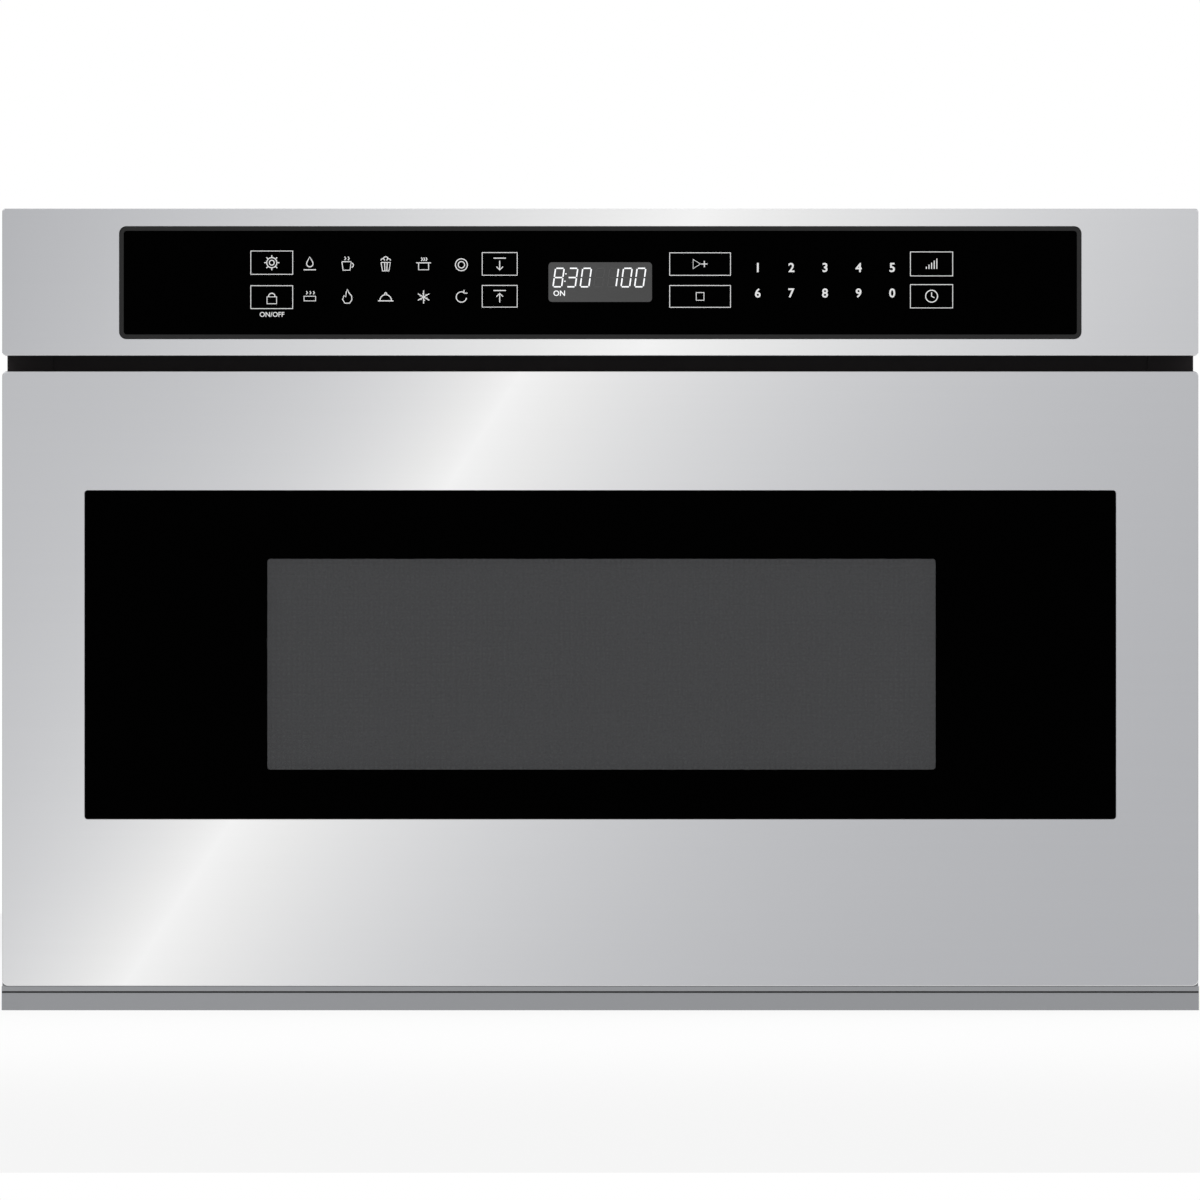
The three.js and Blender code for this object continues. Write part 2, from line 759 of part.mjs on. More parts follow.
// The mica sheet lies under the dome and laps it on all sides.
const micaTop = cavityTop - seat;
add('waveguide_cover', alongZ(
  panel(span(0, domeSize + 2 * micaMargin), span(stirrerY, domeSize + 2 * micaMargin), 6),
  [micaTop - micaSheet, micaTop],
), 'mica');

// ------------------------------------------------------------------ microwave feed
function waveguide() {
  const x = span(0, guideWidth);
  const y = [stirrerY - guideFront, magnetronY + guideRear];
  const z = [guideBottom, guideTop];
  const antennaHole = antennaRadius + antennaClearance;
  return cut(
    block(x, y, z),
    block(grow(x, -sheet), grow(y, -sheet), grow(z, -sheet)),
    bar('z', [0, stirrerY], [guideBottom - 1, guideBottom + 2 * sheet], feedRadius),
    bar('z', [0, magnetronY], [guideBottom - 1, guideBottom + 2 * sheet], antennaHole),
    bar('z', [0, stirrerY], [guideTop - 2 * sheet, guideTop + 1], stirrerShaft + 1),
  );
}

add('waveguide', waveguide(), 'zinc');

// The stirrer: a shaft through the waveguide and tilted vanes, pierced as pressed vanes are.
function stirrer() {
  const low = cavityTop + domeHeight * 0.4;
  const parts = [
    bar('z', [0, 0], [low - 4, guideTop], stirrerShaft),
    bar('z', [0, 0], [low - 3, low + 4], stirrerShaft * 3),
  ];
  const width = stirrerRadius * 0.45;
  for (let i = 0; i < stirrerBlades; i += 1) {
    const vane = pierced(
      panel([stirrerShaft, stirrerRadius], span(0, width), width * 0.15),
      slot([stirrerRadius * 0.4, stirrerRadius * 0.8], span(0, width * 0.4)),
    );
    const geometry = extruded(vane, sheet).translate(0, 0, -sheet / 2);
    geometry.rotateX(10 * PI / 180).rotateZ(i * 2 * PI / stirrerBlades);
    parts.push(geometry.translate(0, 0, low));
  }
  return join(...parts).translate(0, stirrerY, 0);
}

add('stirrer_antenna', stirrer(), 'aluminium');

function stirrerMotor() {
  const middle = [0, stirrerY];
  const low = guideTop + seat;
  const ears = pierced(
    slot(span(0, stirrerMotorRadius * 2.9), span(stirrerY, 14)),
    disc(stirrerMotorRadius * 1.22, stirrerY, 2),
    disc(-stirrerMotorRadius * 1.22, stirrerY, 2),
  );
  return join(
    bar('z', middle, [low, low + stirrerMotorHeight], stirrerMotorRadius),
    alongZ(ears, [low, low + sheet]),
    block(span(0, 18), [stirrerY, stirrerY + stirrerMotorRadius + 8], [low + 4, low + 16]),
  );
}

add('stirrer_motor', stirrerMotor(), 'zinc');

// The magnetron: yoke open to the cooling air, fins round the anode, antenna dome and filter box.
function magnetron() {
  const yoke = 2.4;
  const high = [magnetronBottom, magnetronTop];
  const y = span(magnetronY, magnetronDepth);
  const frame = cut(
    block(span(0, magnetronWidth), y, high),
    block(span(0, magnetronWidth + 2), grow(y, -yoke), grow(high, -yoke)),
  );
  const pitch = (magnetronHeight - 2 * yoke) / (magnetronFins + 1);
  const fins = Array.from({ length: magnetronFins }, (_, i) => {
    const z = magnetronBottom + yoke + (i + 1) * pitch;
    return block(span(0, magnetronWidth - 8), grow(y, -yoke / 2), span(z, 1));
  });
  const middle = [0, magnetronY];
  return join(
    frame,
    ...fins,
    bar('z', middle, grow(high, -yoke / 2), anodeRadius),
    bar('z', middle, [magnetronTop - 1, magnetronTop + 12], antennaRadius),
    bar('z', middle, [magnetronTop + 12, magnetronTop + 22], antennaRadius, antennaRadius * 0.6),
    block(
      span(0, magnetronWidth * 0.7),
      span(magnetronY, magnetronDepth * 0.74),
      [magnetronBottom - filterBox, magnetronBottom + 1],
    ),
  );
}

add('magnetron', magnetron(), 'aluminium');

// ------------------------------------------------------------------ cooling
const fanRingRadius = fanRadius + fanTip;

function fanHousing() {
  const y = span(magnetronY, fanPlate);
  const z = span(fanZ, fanPlate);
  const round = (radius) => disc(magnetronY, fanZ, radius);
  const ring = pierced(round(fanRingRadius + sheet), round(fanRingRadius));
  const arms = [0, 1, 2].map((i) => {
    const arm = block([0, sheet * 2], [fanHub - 1, fanRingRadius + sheet / 2], span(0, 8));
    return arm.rotateX(PI / 6 + i * 2 * PI / 3).translate(fanX, magnetronY, fanZ);
  });
  const foot = block([fanX - 18, fanX + sheet], y, [z[0], z[0] + sheet]);
  return join(
    alongX(pierced(panel(y, z, 6), round(fanRingRadius)), [fanX, fanX + sheet]),
    alongX(ring, [fanX, fanX + fanRing]),
    alongX(pierced(round(fanHub + 2), round(fanShaft + 1)), [fanX, fanX + 2 * sheet]),
    ...arms,
    foot,
    alongX(panel(span(y[0] + 7, 14), [floorTop + seat, z[0] + 7]), [fanX, fanX + sheet]),
    alongX(panel(span(y[1] - 7, 14), [floorTop + seat, z[0] + 7]), [fanX, fanX + sheet]),
    block([fanX - 12, fanX + sheet], y, [floorTop + seat, floorTop + seat + sheet]),
  );
}

add('fan_housing', fanHousing(), 'zinc');

// Twisted blades: a thin slab, turned more near the hub than at the tip.
function fanBlade() {
  const start = fanX + 2 * sheet + fanGap;
  const width = fanRing - fanGap - 2 * sheet - 2;
  const middle = start + width / 2;
  const parts = [bar('x', [0, 0], [start - 1, start + width], fanHub, fanHub * 0.8)];
  const length = fanRadius - fanHub + 3;
  for (let i = 0; i < fanBlades; i += 1) {
    const blade = new THREE.BoxGeometry(1.4, fanRadius * 0.62, length, 1, 1, 3);
    blade.translate(0, 0, fanHub - 3 + length / 2);
    const place = blade.attributes.position;
    for (let v = 0; v < place.count; v += 1) {
      const radius = place.getZ(v);
      const share = (radius - fanHub) / (fanRadius - fanHub);
      const angle = (62 - 40 * (1 - share) * 0.6) * PI / 180;
      const flare = 0.6 + 0.4 * share;
      const along = place.getY(v) * flare;
      const off = place.getX(v);
      place.setX(v, off * sin(angle) + along * cos(angle) * 0.55);
      place.setY(v, along * sin(angle) - off * cos(angle));
    }
    blade.rotateX(i * 2 * PI / fanBlades);
    parts.push(blade.translate(middle, 0, 0));
  }
  const tip = bar('x', [0, 0], [start - 8, start + width + 8], fanRadius, fanRadius, 30);
  const trimmed = toGeometry(toManifold(join(...parts)).intersect(toManifold(tip)));
  const shaft = bar('x', [0, 0], [fanX - seat, start + 1], fanShaft);
  return join(trimmed, shaft).translate(0, magnetronY, fanZ);
}

add('fan_blade', fanBlade(), 'blackPlastic');

// A shaded-pole motor: a laminated C with its coil on one side, a rotor between bearing bridges.
function fanMotor() {
  const back = fanX - 2 * seat;
  const stack = [back - fanMotorLength * 0.75, back - fanMotorLength * 0.3];
  const stackLow = fanZ - fanStackHeight * 0.63;
  const coilZ = stackLow + fanCoilHeight * 0.3;
  const lamination = pierced(
    panel(span(magnetronY, fanStackWidth), [stackLow, stackLow + fanStackHeight], 3),
    panel(span(magnetronY, fanCoilWidth - 4), span(coilZ + fanCoilHeight * 0.4, fanCoilHeight * 0.6), 1),
  );
  const coil = panel(span(magnetronY, fanCoilWidth), span(coilZ, fanCoilHeight), 5);
  const bridge = slot(span(magnetronY, bridgeLength), span(fanZ, bridgePost * 4.8));
  const posts = span(magnetronY, bridgeLength - 4 * bridgePost);
  return join(
    alongX(lamination, stack),
    alongX(coil, grow(stack, fanCoilOverhang)),
    alongX(bridge, [back - bridgeSheet, back]),
    alongX(bridge, [stack[0] - 4 * bridgeSheet, stack[0] - 3 * bridgeSheet]),
    ...posts.map((y) => bar('x', [y, fanZ], [stack[0] - 3.5 * bridgeSheet, back - 1], bridgePost)),
    bar('x', [magnetronY, fanZ], [stack[0] - 4.5 * bridgeSheet, back - 1], bearingRadius),
  );
}

add('fan_motor', fanMotor(), 'steel');

// The duct tapers from the fan ring to the side of the magnetron and is open at both ends.
function airDuct() {
  const start = fanX + fanRing + seat;
  const end = -magnetronWidth / 2 - ductGap;
  const taper = (wall) => {
    const inlet = (fanRingRadius + sheet - wall) * Math.SQRT2;
    const funnel = bar('x', [0, 0], [start - (wall ? 1 : 0), end + (wall ? 1 : 0)], inlet, inlet, 4);
    funnel.rotateX(PI / 4);
    const place = funnel.attributes.position;
    for (let v = 0; v < place.count; v += 1) {
      if (place.getX(v) > (start + end) / 2) {
        const reach = fanRingRadius + sheet - wall;
        place.setY(v, Math.sign(place.getY(v)) * Math.min(magnetronDepth / 2 - wall, reach));
        place.setZ(v, Math.sign(place.getZ(v)) * Math.min(ductHeight / 2 - wall, reach));
      }
    }
    return funnel;
  };
  const lip = block([start, start + 2], span(0, fanPlate - 8), span(0, fanPlate - 8));
  return cut(join(taper(0), lip), taper(sheet)).translate(0, magnetronY, fanZ);
}

add('air_duct', airDuct(), 'whitePlastic');

// ------------------------------------------------------------------ power parts
function transformer() {
  const low = floorTop + seat;
  const y = magnetronY;
  const coreWindow = [low + 3 + coreLeg, low + coreHeight - coreLeg];
  const core = cut(
    alongY(panel(span(coreX, coreWidth), [low + 3, low + coreHeight], 1.5), span(y, coreStack)),
    block([coreX - coreWidth / 2 + coreLeg, coreX - coreLeg], span(y, coreStack + 2), coreWindow),
    block([coreX + coreLeg, coreX + coreWidth / 2 - coreLeg], span(y, coreStack + 2), coreWindow),
  );
  const coilWidth = coreWidth - 2 * coreLeg - 2;
  const coilHeight = (coreHeight - 2 * coreLeg - 9) / 2;
  const coils = [0, 1].map((i) => {
    const bottom = low + 3 + coreLeg + 2 + i * (coilHeight + 2);
    const coil = panel(span(coreX, coilWidth), span(y, coreStack + 30), 12);
    return alongZ(coil, [bottom, bottom + coilHeight]);
  });
  const foot = pierced(
    panel(span(coreX, coreWidth + 2 * footReach), span(y, coreStack + 4), 4),
    disc(coreX - (coreWidth + footReach) / 2, y, 2.6),
    disc(coreX + (coreWidth + footReach) / 2, y, 2.6),
  );
  return join(core, ...coils, alongZ(foot, [low, low + 4]));
}

add('hv_transformer', transformer(), 'steel');

function capacitor() {
  const low = floorTop + seat;
  const can = slot(span(capacitorX, capacitorWidth), span(magnetronY, capacitorDepth), 6);
  const lid = slot(span(capacitorX, capacitorWidth + 2), span(magnetronY, capacitorDepth + 2), 6);
  const clamp = pierced(
    panel(span(capacitorX, capacitorWidth + 2 * footReach), span(magnetronY, 16), 3),
    disc(capacitorX - (capacitorWidth + footReach) / 2, magnetronY, 2.2),
    disc(capacitorX + (capacitorWidth + footReach) / 2, magnetronY, 2.2),
  );
  const tabs = [-12, 12].map((x) => block(
    span(capacitorX + x, 6.3),
    span(magnetronY, 0.8),
    [low + capacitorHeight, low + capacitorHeight + 12],
  ));
  return join(
    alongZ(can, [low, low + capacitorHeight]),
    alongZ(lid, [low + capacitorHeight - 3, low + capacitorHeight + 1]),
    alongZ(clamp, [low, low + sheet]),
    ...tabs,
  );
}

add('hv_capacitor', capacitor(), 'aluminium');

function filterBoard() {
  const low = floorTop + seat;
  const x = span(filterBoardX, filterBoardWidth);
  const y = span(magnetronY, filterBoardDepth);
  const top = low + boardStandoff + boardSheet;
  const posts = grow(x, -boardMargin).flatMap((px) => grow(y, -boardMargin).map((py) => bar(
    'z',
    [px, py],
    [low, low + boardStandoff + boardSheet / 2],
    boardMargin / 2,
  )));
  const onBoard = ([width, deep, rise], px, py) => block(
    span(px, width),
    span(py, deep),
    [top - boardSheet / 2, top + rise],
  );
  const canOnBoard = (radius, rise, px, py) => bar(
    'z',
    [px, py],
    [top - boardSheet / 2, top + rise],
    radius,
  );
  return join(
    alongZ(panel(x, y, 2), [low + boardStandoff, top]),
    ...posts,
    canOnBoard(chokeCoil, chokeRise, x[0] + filterBoardWidth * 0.28, y[0] + filterBoardDepth * 0.38),
    canOnBoard(smallCan, smallCanRise, x[0] + filterBoardWidth * 0.22, y[0] + filterBoardDepth * 0.8),
    onBoard(filterCapacitor, x[0] + filterBoardWidth * 0.69, y[0] + filterBoardDepth * 0.71),
    onBoard(fuseHolder, x[0] + filterBoardWidth * 0.74, y[0] + filterBoardDepth * 0.23),
  );
}

add('noise_filter_board', filterBoard(), 'circuitBoard');

// The lamp shines through the slots in the left cavity wall, from a holder screwed beside them.
const lampY = cavityBack - lampBack;
const lampZ = cavityTop - ventLength;
const lampWall = -cavityWidth / 2 - sheet - seat;

function lampHolder() {
  const back = lampWall - lampReach - sheet / 2;
  const front = lampY - holderWidth / 2;
  const angle = bent([
    [lampWall - sheet / 2, front - casingFlange],
    [lampWall - sheet / 2, front],
    [back, front],
    [back, lampY + holderWidth / 2],
  ], sheet);
  return join(
    alongZ(angle, span(lampZ, holderWidth)),
    bar('x', [lampY, lampZ], [back - socketDepth, back + sheet], bulbRadius),
  );
}

add('lamp_holder', lampHolder(), 'zinc');

// The bulb: a cap in the holder and a glass that swells and closes in a round tip.
function lampBulb() {
  const start = lampWall - lampReach + sheet + seat;
  const length = lampReach - sheet - seat - lampTip;
  const profile = new THREE.SplineCurve([
    [bulbRadius * 0.6, length * 0.25],
    [bulbRadius * 0.75, length * 0.4],
    [bulbRadius, length * 0.7],
    [bulbRadius * 0.6, length * 0.95],
    [0, length],
  ].map(([radius, height]) => new THREE.Vector2(radius, height))).getPoints(7);
  profile[profile.length - 1].x = 0;
  profile.unshift(new THREE.Vector2(0, 0), new THREE.Vector2(bulbRadius * 0.6, 0));
  return new THREE.LatheGeometry(profile, 12).rotateZ(-PI / 2).translate(start, lampY, lampZ);
}

add('oven_lamp', lampBulb(), 'clearGlass');

// The humidity sensor: a small can on an angle bracket over the exhaust slots, with its plug outside.
function humiditySensor() {
  const wall = -lampWall;
  const back = wall + sensorReach + sheet / 2;
  const front = lampY - holderWidth / 2;
  const angle = bent([
    [wall + sheet / 2, front - casingFlange],
    [wall + sheet / 2, front],
    [back, front],
    [back, lampY + holderWidth / 2],
  ], sheet);
  const [plugDepth, plugHeight] = sensorPlug;
  return join(
    alongZ(angle, span(lampZ, sensorHeight)),
    bar('x', [lampY, lampZ], [back - sensorDepth, back], sensorRadius),
    block([back, back + sensorPlugRise], span(lampY, plugDepth), span(lampZ, plugHeight)),
  );
}

add('humidity_sensor', humiditySensor(), 'zinc');

// ------------------------------------------------------------------ telescopic slides
// Sections are drawn in distance from the casing and height above the slide's middle.
// Each flange carries a raceway: an arc round the middle of a ball, one running gap clear of it.
const race = ballRadius + ballGap + railSheet / 2;
const outerBall = [ballInset, slideHeight / 2 - railSheet / 2 - race];
const middleFlange = outerBall[1] - race;
const innerBall = [ballInset + ballStep, middleFlange - race];
const innerFlange = innerBall[1] - race;
const outerWeb = railSheet / 2;
const outerCageWeb = railSheet + cageGap + cageSheet / 2;
const middleWeb = outerCageWeb + cageSheet / 2 + cageGap + railSheet / 2;
const innerCageWeb = middleWeb + railSheet / 2 + cageGap + cageSheet / 2;
const innerWeb = slideWidth - railSheet / 2;

const mirrored = (half) => [...half, ...half.map(([x, z]) => [x, -z]).reverse()];
const sections = {
  outer: [
    ...arc(outerBall, race, 20, 90),
    [outerWeb + 1, outerBall[1] + race],
    [outerWeb, outerBall[1] + race - 1],
  ],
  middle: [
    ...arc(innerBall, race, 20, 122),
    ...arc(outerBall, race, -58, -90, 3),
    [middleWeb + 1, middleFlange],
    [middleWeb, middleFlange - 1],
  ],
  inner: [
    ...arc(innerBall, race, -150, -90, 5),
    [innerWeb - 1, innerFlange],
    [innerWeb, innerFlange - 1],
  ],
};

function placed(section, side) {
  return section.map(([x, z]) => [side * (slideX - x), slideCentre + z]);
}

const cageRows = [
  ['outer', outerBall, outerCageWeb],
  ['inner', innerBall, innerCageWeb],
];
const slideStart = behindFrame;
const slideSpan = [slideStart, slideStart + slideLength];

for (const [hand, side] of hands) {
  for (const stage of ['outer', 'middle', 'inner']) {
    const section = bent(placed(mirrored(sections[stage]), side), railSheet);
    add(`${hand}_${stage}_rail`, alongY(section, slideSpan), 'zinc');
  }
  for (const [stage, ball, web] of cageRows) {
    const line = mirrored([[ball[0] + ballRadius - 0.2, ball[1]], [web, ball[1]]]);
    const ends = [slideStart + cageStart, slideStart + cageStart + cageLength];
    const pieces = [alongY(bent(placed(line, side), cageSheet), ends)];
    for (let i = 0; i < cageBalls; i += 1) {
      const y = ends[0] + (i + 0.5) * cageLength / cageBalls;
      for (const [x, z] of placed([ball, [ball[0], -ball[1]]], side)) {
        pieces.push(new THREE.OctahedronGeometry(ballRadius, 1).translate(x, y, z));
      }
    }
    add(`${hand}_${stage}_ball_cage`, join(...pieces), 'zinc');
  }
  // The inner rail hangs on an angle that is screwed to the back of the drawer front.
  const web = slideX - slideWidth - seat - driveSheet / 2;
  const foot = behindPlate + driveSheet / 2;
  const angle = bent([
    [side * (web - 14), foot],
    [side * web, foot],
    [side * web, slideStart + 58],
  ], driveSheet);
  add(`${hand}_rail_bracket`, alongZ(angle, span(slideCentre, 2 * innerFlange)), 'zinc');
}

// ------------------------------------------------------------------ rack drive
// An involute flank, as the half angle of a tooth at a radius.
const baseRadius = pinionRadius * cos(pressureAngle);
const involute = (angle) => tan(angle) - angle;

function halfTooth(radius) {
  const atPitch = PI / 2 / pinionTeeth - backlash / 4 / pinionRadius;
  const angle = radius > baseRadius ? acos(baseRadius / radius) : 0;
  return atPitch + involute(pressureAngle) - involute(angle);
}

function pinion() {
  const rootRadius = pinionRadius - 1.25 * gearModule;
  const steps = 2;
  const flank = [rootRadius];
  for (let i = 0; i <= steps; i += 1) {
    flank.push(baseRadius + (pinionTip - baseRadius) * i / steps);
  }
  const points = [];
  for (let tooth = 0; tooth < pinionTeeth; tooth += 1) {
    // a gap between two teeth points straight up at the rack
    const middle = PI / 2 + (tooth + 0.5) * 2 * PI / pinionTeeth;
    const at = (radius, angle) => new THREE.Vector2(
      pinionY + radius * cos(angle),
      pinionZ + radius * sin(angle),
    );
    flank.forEach((radius) => points.push(at(radius, middle - halfTooth(radius))));
    [...flank].reverse().forEach((radius) => points.push(at(radius, middle + halfTooth(radius))));
  }
  const gear = new THREE.Shape(points);
  const reach = driveCheek + 1;
  return join(
    alongX(gear, span(0, pinionWidth)),
    bar('x', [pinionY, pinionZ], [-pinionWidth / 2 - 3, pinionWidth / 2 + 3], pinionRadius * 0.5),
    bar('x', [pinionY, pinionZ], [-reach, reach + 4], pinionShaft, pinionShaft, shaftFacets),
  );
}

add('drive_pinion', pinion(), 'whitePlastic');

// The rack's teeth point down and one tooth stands over the pinion's upper gap.
function rack() {
  const pitch = PI * gearModule;
  const end = rackStart + rackLength;
  const first = Math.ceil((rackStart + pitch / 2 - pinionY) / pitch);
  const last = Math.floor((end - pitch / 2 - pinionY) / pitch);
  const atPitch = pitch / 4 - backlash / 4;
  const tip = atPitch - (rackPitchHeight - rackTip) * tan(pressureAngle);
  const root = atPitch + (rackRoot - rackPitchHeight) * tan(pressureAngle);
  const points = [new THREE.Vector2(rackStart, rackHeadBottom + 1), new THREE.Vector2(rackStart, rackRoot)];
  for (let i = first; i <= last; i += 1) {
    const y = pinionY + i * pitch;
    points.push(new THREE.Vector2(y - root, rackRoot));
    points.push(new THREE.Vector2(y - tip, rackTip));
    points.push(new THREE.Vector2(y + tip, rackTip));
    points.push(new THREE.Vector2(y + root, rackRoot));
  }
  points.push(new THREE.Vector2(end, rackRoot), new THREE.Vector2(end, rackHeadBottom + 1));
  return join(
    alongX(new THREE.Shape(points), span(0, rackWidth)),
    block(span(0, rackHeadWidth), [rackStart, end], [rackHeadBottom, rackHeadTop]),
  );
}

add('gear_rack', rack(), 'whitePlastic');

// The rack is clasped by a fork behind the drawer front.
const cheekX = rackHeadWidth / 2 + seat;
const forkHigh = [rackRoot, rackHeadTop - 1];

function rackBracket() {
  const plate = pierced(
    panel([-cheekX - 14, cheekX + 14], [rackTip - 8, rackHeadTop + 1], 2),
    disc(-cheekX - 8, rackPitchHeight, 2.2),
    disc(cheekX + 8, rackPitchHeight, 2.2),
  );
  const back = rackStart - seat;
  const cheeks = hands.map(([, side]) => block(
    [side * cheekX, side * (cheekX + driveSheet)].sort((a, b) => a - b),
    [back - driveSheet / 2, frameBack + 17],
    forkHigh,
  ));
  return join(alongY(plate, [behindPlate, back]), ...cheeks);
}

add('rack_bracket', rackBracket(), 'zinc');

// The guide is one extrusion under the cavity: wings above, a hollow neck, and a slot for the head.
const guideStart = frameBack + 22;

function rackGuide() {
  const top = cavityBottom - sheet - seat;
  const head = rackHeadWidth / 2 + guideClearance;
  const neck = head + guideWall;
  const headTop = rackHeadTop + guideClearance;
  const headLow = rackHeadBottom - guideClearance;
  const lip = rackWidth / 2 + guideClearance;
  const half = [
    [guideWing, top],
    [guideWing, top - guideWall],
    [neck, top - guideWall],
    [neck, headLow - guideWall],
    [lip, headLow - guideWall],
    [lip, headLow],
    [head, headLow],
    [head, headTop],
  ];
  const section = outline([...half, ...half.map(([x, z]) => [-x, z]).reverse()]);
  const hollow = panel([-head, head], [headTop + guideWall, top - guideWall]);
  return alongY(pierced(section, hollow), [guideStart, cavityBack]);
}

add('rack_guide', rackGuide(), 'aluminium');

function driveBracket() {
  const low = floorTop + seat;
  const high = pinionZ + pinionShaft * 2;
  const y = span(pinionY, 40);
  const channel = bent([
    [-driveCheek + driveSheet / 2, high],
    [-driveCheek + driveSheet / 2, low + driveSheet / 2],
    [driveCheek - driveSheet / 2, low + driveSheet / 2],
    [driveCheek - driveSheet / 2, high],
  ], driveSheet);
  const hole = pinionShaft + shaftClearance;
  const bore = bar('x', [pinionY, pinionZ], [-driveCheek - 1, driveCheek + 1], hole, hole, shaftFacets);
  return cut(alongY(channel, y), bore);
}

add('drive_bracket', driveBracket(), 'zinc');

// The gearmotor: a flat gear case round the pinion shaft, with the motor beside it.
function driveMotor() {
  const start = driveCheek + seat;
  const motorY = pinionY + motorBack;
  const motorZ = Math.max(pinionZ, floorTop + motorRadius + seat);
  const casing = panel(
    [pinionY - motorRadius, motorY + motorRadius],
    [motorZ - motorRadius, motorZ + motorRadius],
    motorRadius * 0.6,
  );
  const bore = pinionShaft + shaftClearance;
  const body = join(
    alongX(casing, [start, start + gearCase]),
    bar('x', [motorY, motorZ], [start + gearCase - 1, start + gearCase + motorLength], motorRadius),
    bar('x', [motorY, motorZ], [start + gearCase, start + gearCase + motorLength + 5], 6),
    block([start + gearCase - 1, start + gearCase + 9], span(pinionY - 2, 14), span(motorZ, 12)),
  );
  return cut(body, bar('x', [pinionY, pinionZ], [start - 1, start + 6], bore, bore, shaftFacets));
}

add('drive_motor', driveMotor(), 'steel');

// ------------------------------------------------------------------ drawer front, inside
const glassY = [frontFace, frontFace + glassThickness];
add('door_glass', alongY(panel(span(0, glassWidth), glassHigh, glassCorner), glassY), 'blackGlass');

const windowX = span(0, glassWidth - 2 * windowBeside);
const windowHigh = [glassHigh[0] + windowBelow, glassHigh[1] - windowAbove];

function framed(margin) {
  return [grow(windowX, margin), grow(windowHigh, margin)];
}

// The retainer holds the glass: a rim round it and a shelf behind it, with the window left open.
function glassRetainer() {
  const outside = [span(0, glassWidth), glassHigh].map((range) => grow(range, retainerBorder));
  const around = [span(0, glassWidth), glassHigh].map((range) => grow(range, seat));
  const back = glassY[1] + seat + retainerSheet;
  return join(
    alongY(pierced(panel(...outside, 4), panel(...around, glassCorner)), [frontFace + sheet + seat, back]),
    alongY(pierced(panel(...outside, 4), panel(...framed(windowMargin), 3)), [back - retainerSheet, back]),
  );
}

add('glass_retainer', glassRetainer(), 'blackPlastic');

add('window_screen', alongY(
  panel(...framed(windowMargin + screenMargin), 2),
  [plateFront - seat - screenSheet, plateFront - seat],
), 'blackSteel');

// The inner frame is one pressing: a plate with the window and the choke channel round the cavity.
const doorOpening = [span(0, cavityWidth), [cavityBottom, cavityTop]];

function doorFrame() {
  const inset = 2 * sheet + 3;
  const plate = panel(
    grow(span(0, frontWidth), -inset),
    grow([drawerFrontBottom, drawerFrontTop], -inset),
    4,
  );
  const slotIn = doorOpening.map((range) => grow(range, chokeGap));
  const slotOut = slotIn.map((range) => grow(range, chokeWidth));
  const boxIn = slotIn.map((range) => grow(range, -frameSheet));
  const boxOut = slotOut.map((range) => grow(range, frameSheet));
  const floor = plateBack - chokeDepth;
  const body = join(
    alongY(pierced(plate, panel(...framed(windowMargin), 3)), [plateFront, plateBack]),
    alongY(pierced(panel(...boxOut, 6), panel(...boxIn, 3)), [floor - frameSheet, plateBack]),
  );
  return cut(body, alongY(pierced(panel(...slotOut, 5), panel(...slotIn, 4)), [floor, plateBack + 1]));
}

add('door_frame', doorFrame(), 'blackSteel');

function chokeCover() {
  const inner = doorOpening.map((range) => grow(range, chokeGap - chokeCoverLap));
  const outer = doorOpening.map((range) => grow(range, chokeGap + chokeWidth + chokeCoverLap));
  const ring = pierced(panel(...outer, 7), panel(...inner, 4));
  return alongY(ring, [behindPlate, behindPlate + chokeCoverSheet]);
}

add('choke_cover', chokeCover(), 'greyPlastic');

const paneMargin = windowMargin + 3;
add('inner_window', alongY(
  panel(...framed(paneMargin), 3),
  [behindPlate, behindPlate + innerWindowSheet],
), 'clearGlass');

// ------------------------------------------------------------------ tub and shelf
const tubY = [behindPlate, cavityBack - tubBehind];

function drawerTub() {
  const inner = span(0, tubWidth);
  const outer = grow(inner, sheet);
  const innerY = [tubY[0] + sheet, tubY[1]];
  const outerY = [tubY[0], tubY[1] + sheet];
  const rimY = [tubY[0], outerY[1] + tubRim];
  const body = join(
    alongZ(panel(outer, outerY, tubCorner), [tubBottom, tubTop]),
    block(outer, [outerY[0], outerY[0] + tubCorner], [tubBottom, tubTop]),
    alongZ(panel(grow(outer, tubRim), rimY, tubCorner), [tubTop - 2 * sheet, tubTop]),
  );
  const ledge = shelfLedge;
  const hollow = alongZ(panel(inner, innerY, tubCorner - sheet), [tubFloor + shelfLedgeHeight, tubTop + 1]);
  const well = alongZ(
    panel(grow(inner, -ledge), grow(innerY, -ledge), tubCorner),
    [tubFloor, tubTop + 1],
  );
  // the rim stops short of the drawer front: only the walls reach it
  const rimEnds = hands.map(([, side]) => block(
    [side * outer[1], side * (outer[1] + 2 * tubRim)].sort((a, b) => a - b),
    [rimY[0] - 1, rimY[0] + tubRim],
    [tubTop - 3 * sheet, tubTop + 1],
  ));
  const pane = alongY(panel(...framed(paneMargin + seat), 3), [tubY[0] - 1, tubY[0] + 2 * sheet]);
  return cut(body, hollow, well, pane, ...rimEnds);
}

add('drawer_tub', drawerTub(), 'enamel');

const shelfZ = [tubFloor + shelfLedgeHeight + seat, tubFloor + shelfLedgeHeight + seat + shelfSheet];
add('glass_shelf', alongZ(
  panel(
    grow(span(0, tubWidth), -shelfMargin),
    [tubY[0] + sheet + shelfMargin, tubY[1] - shelfMargin],
    tubCorner - shelfMargin,
  ),
  shelfZ,
), 'ceramic');

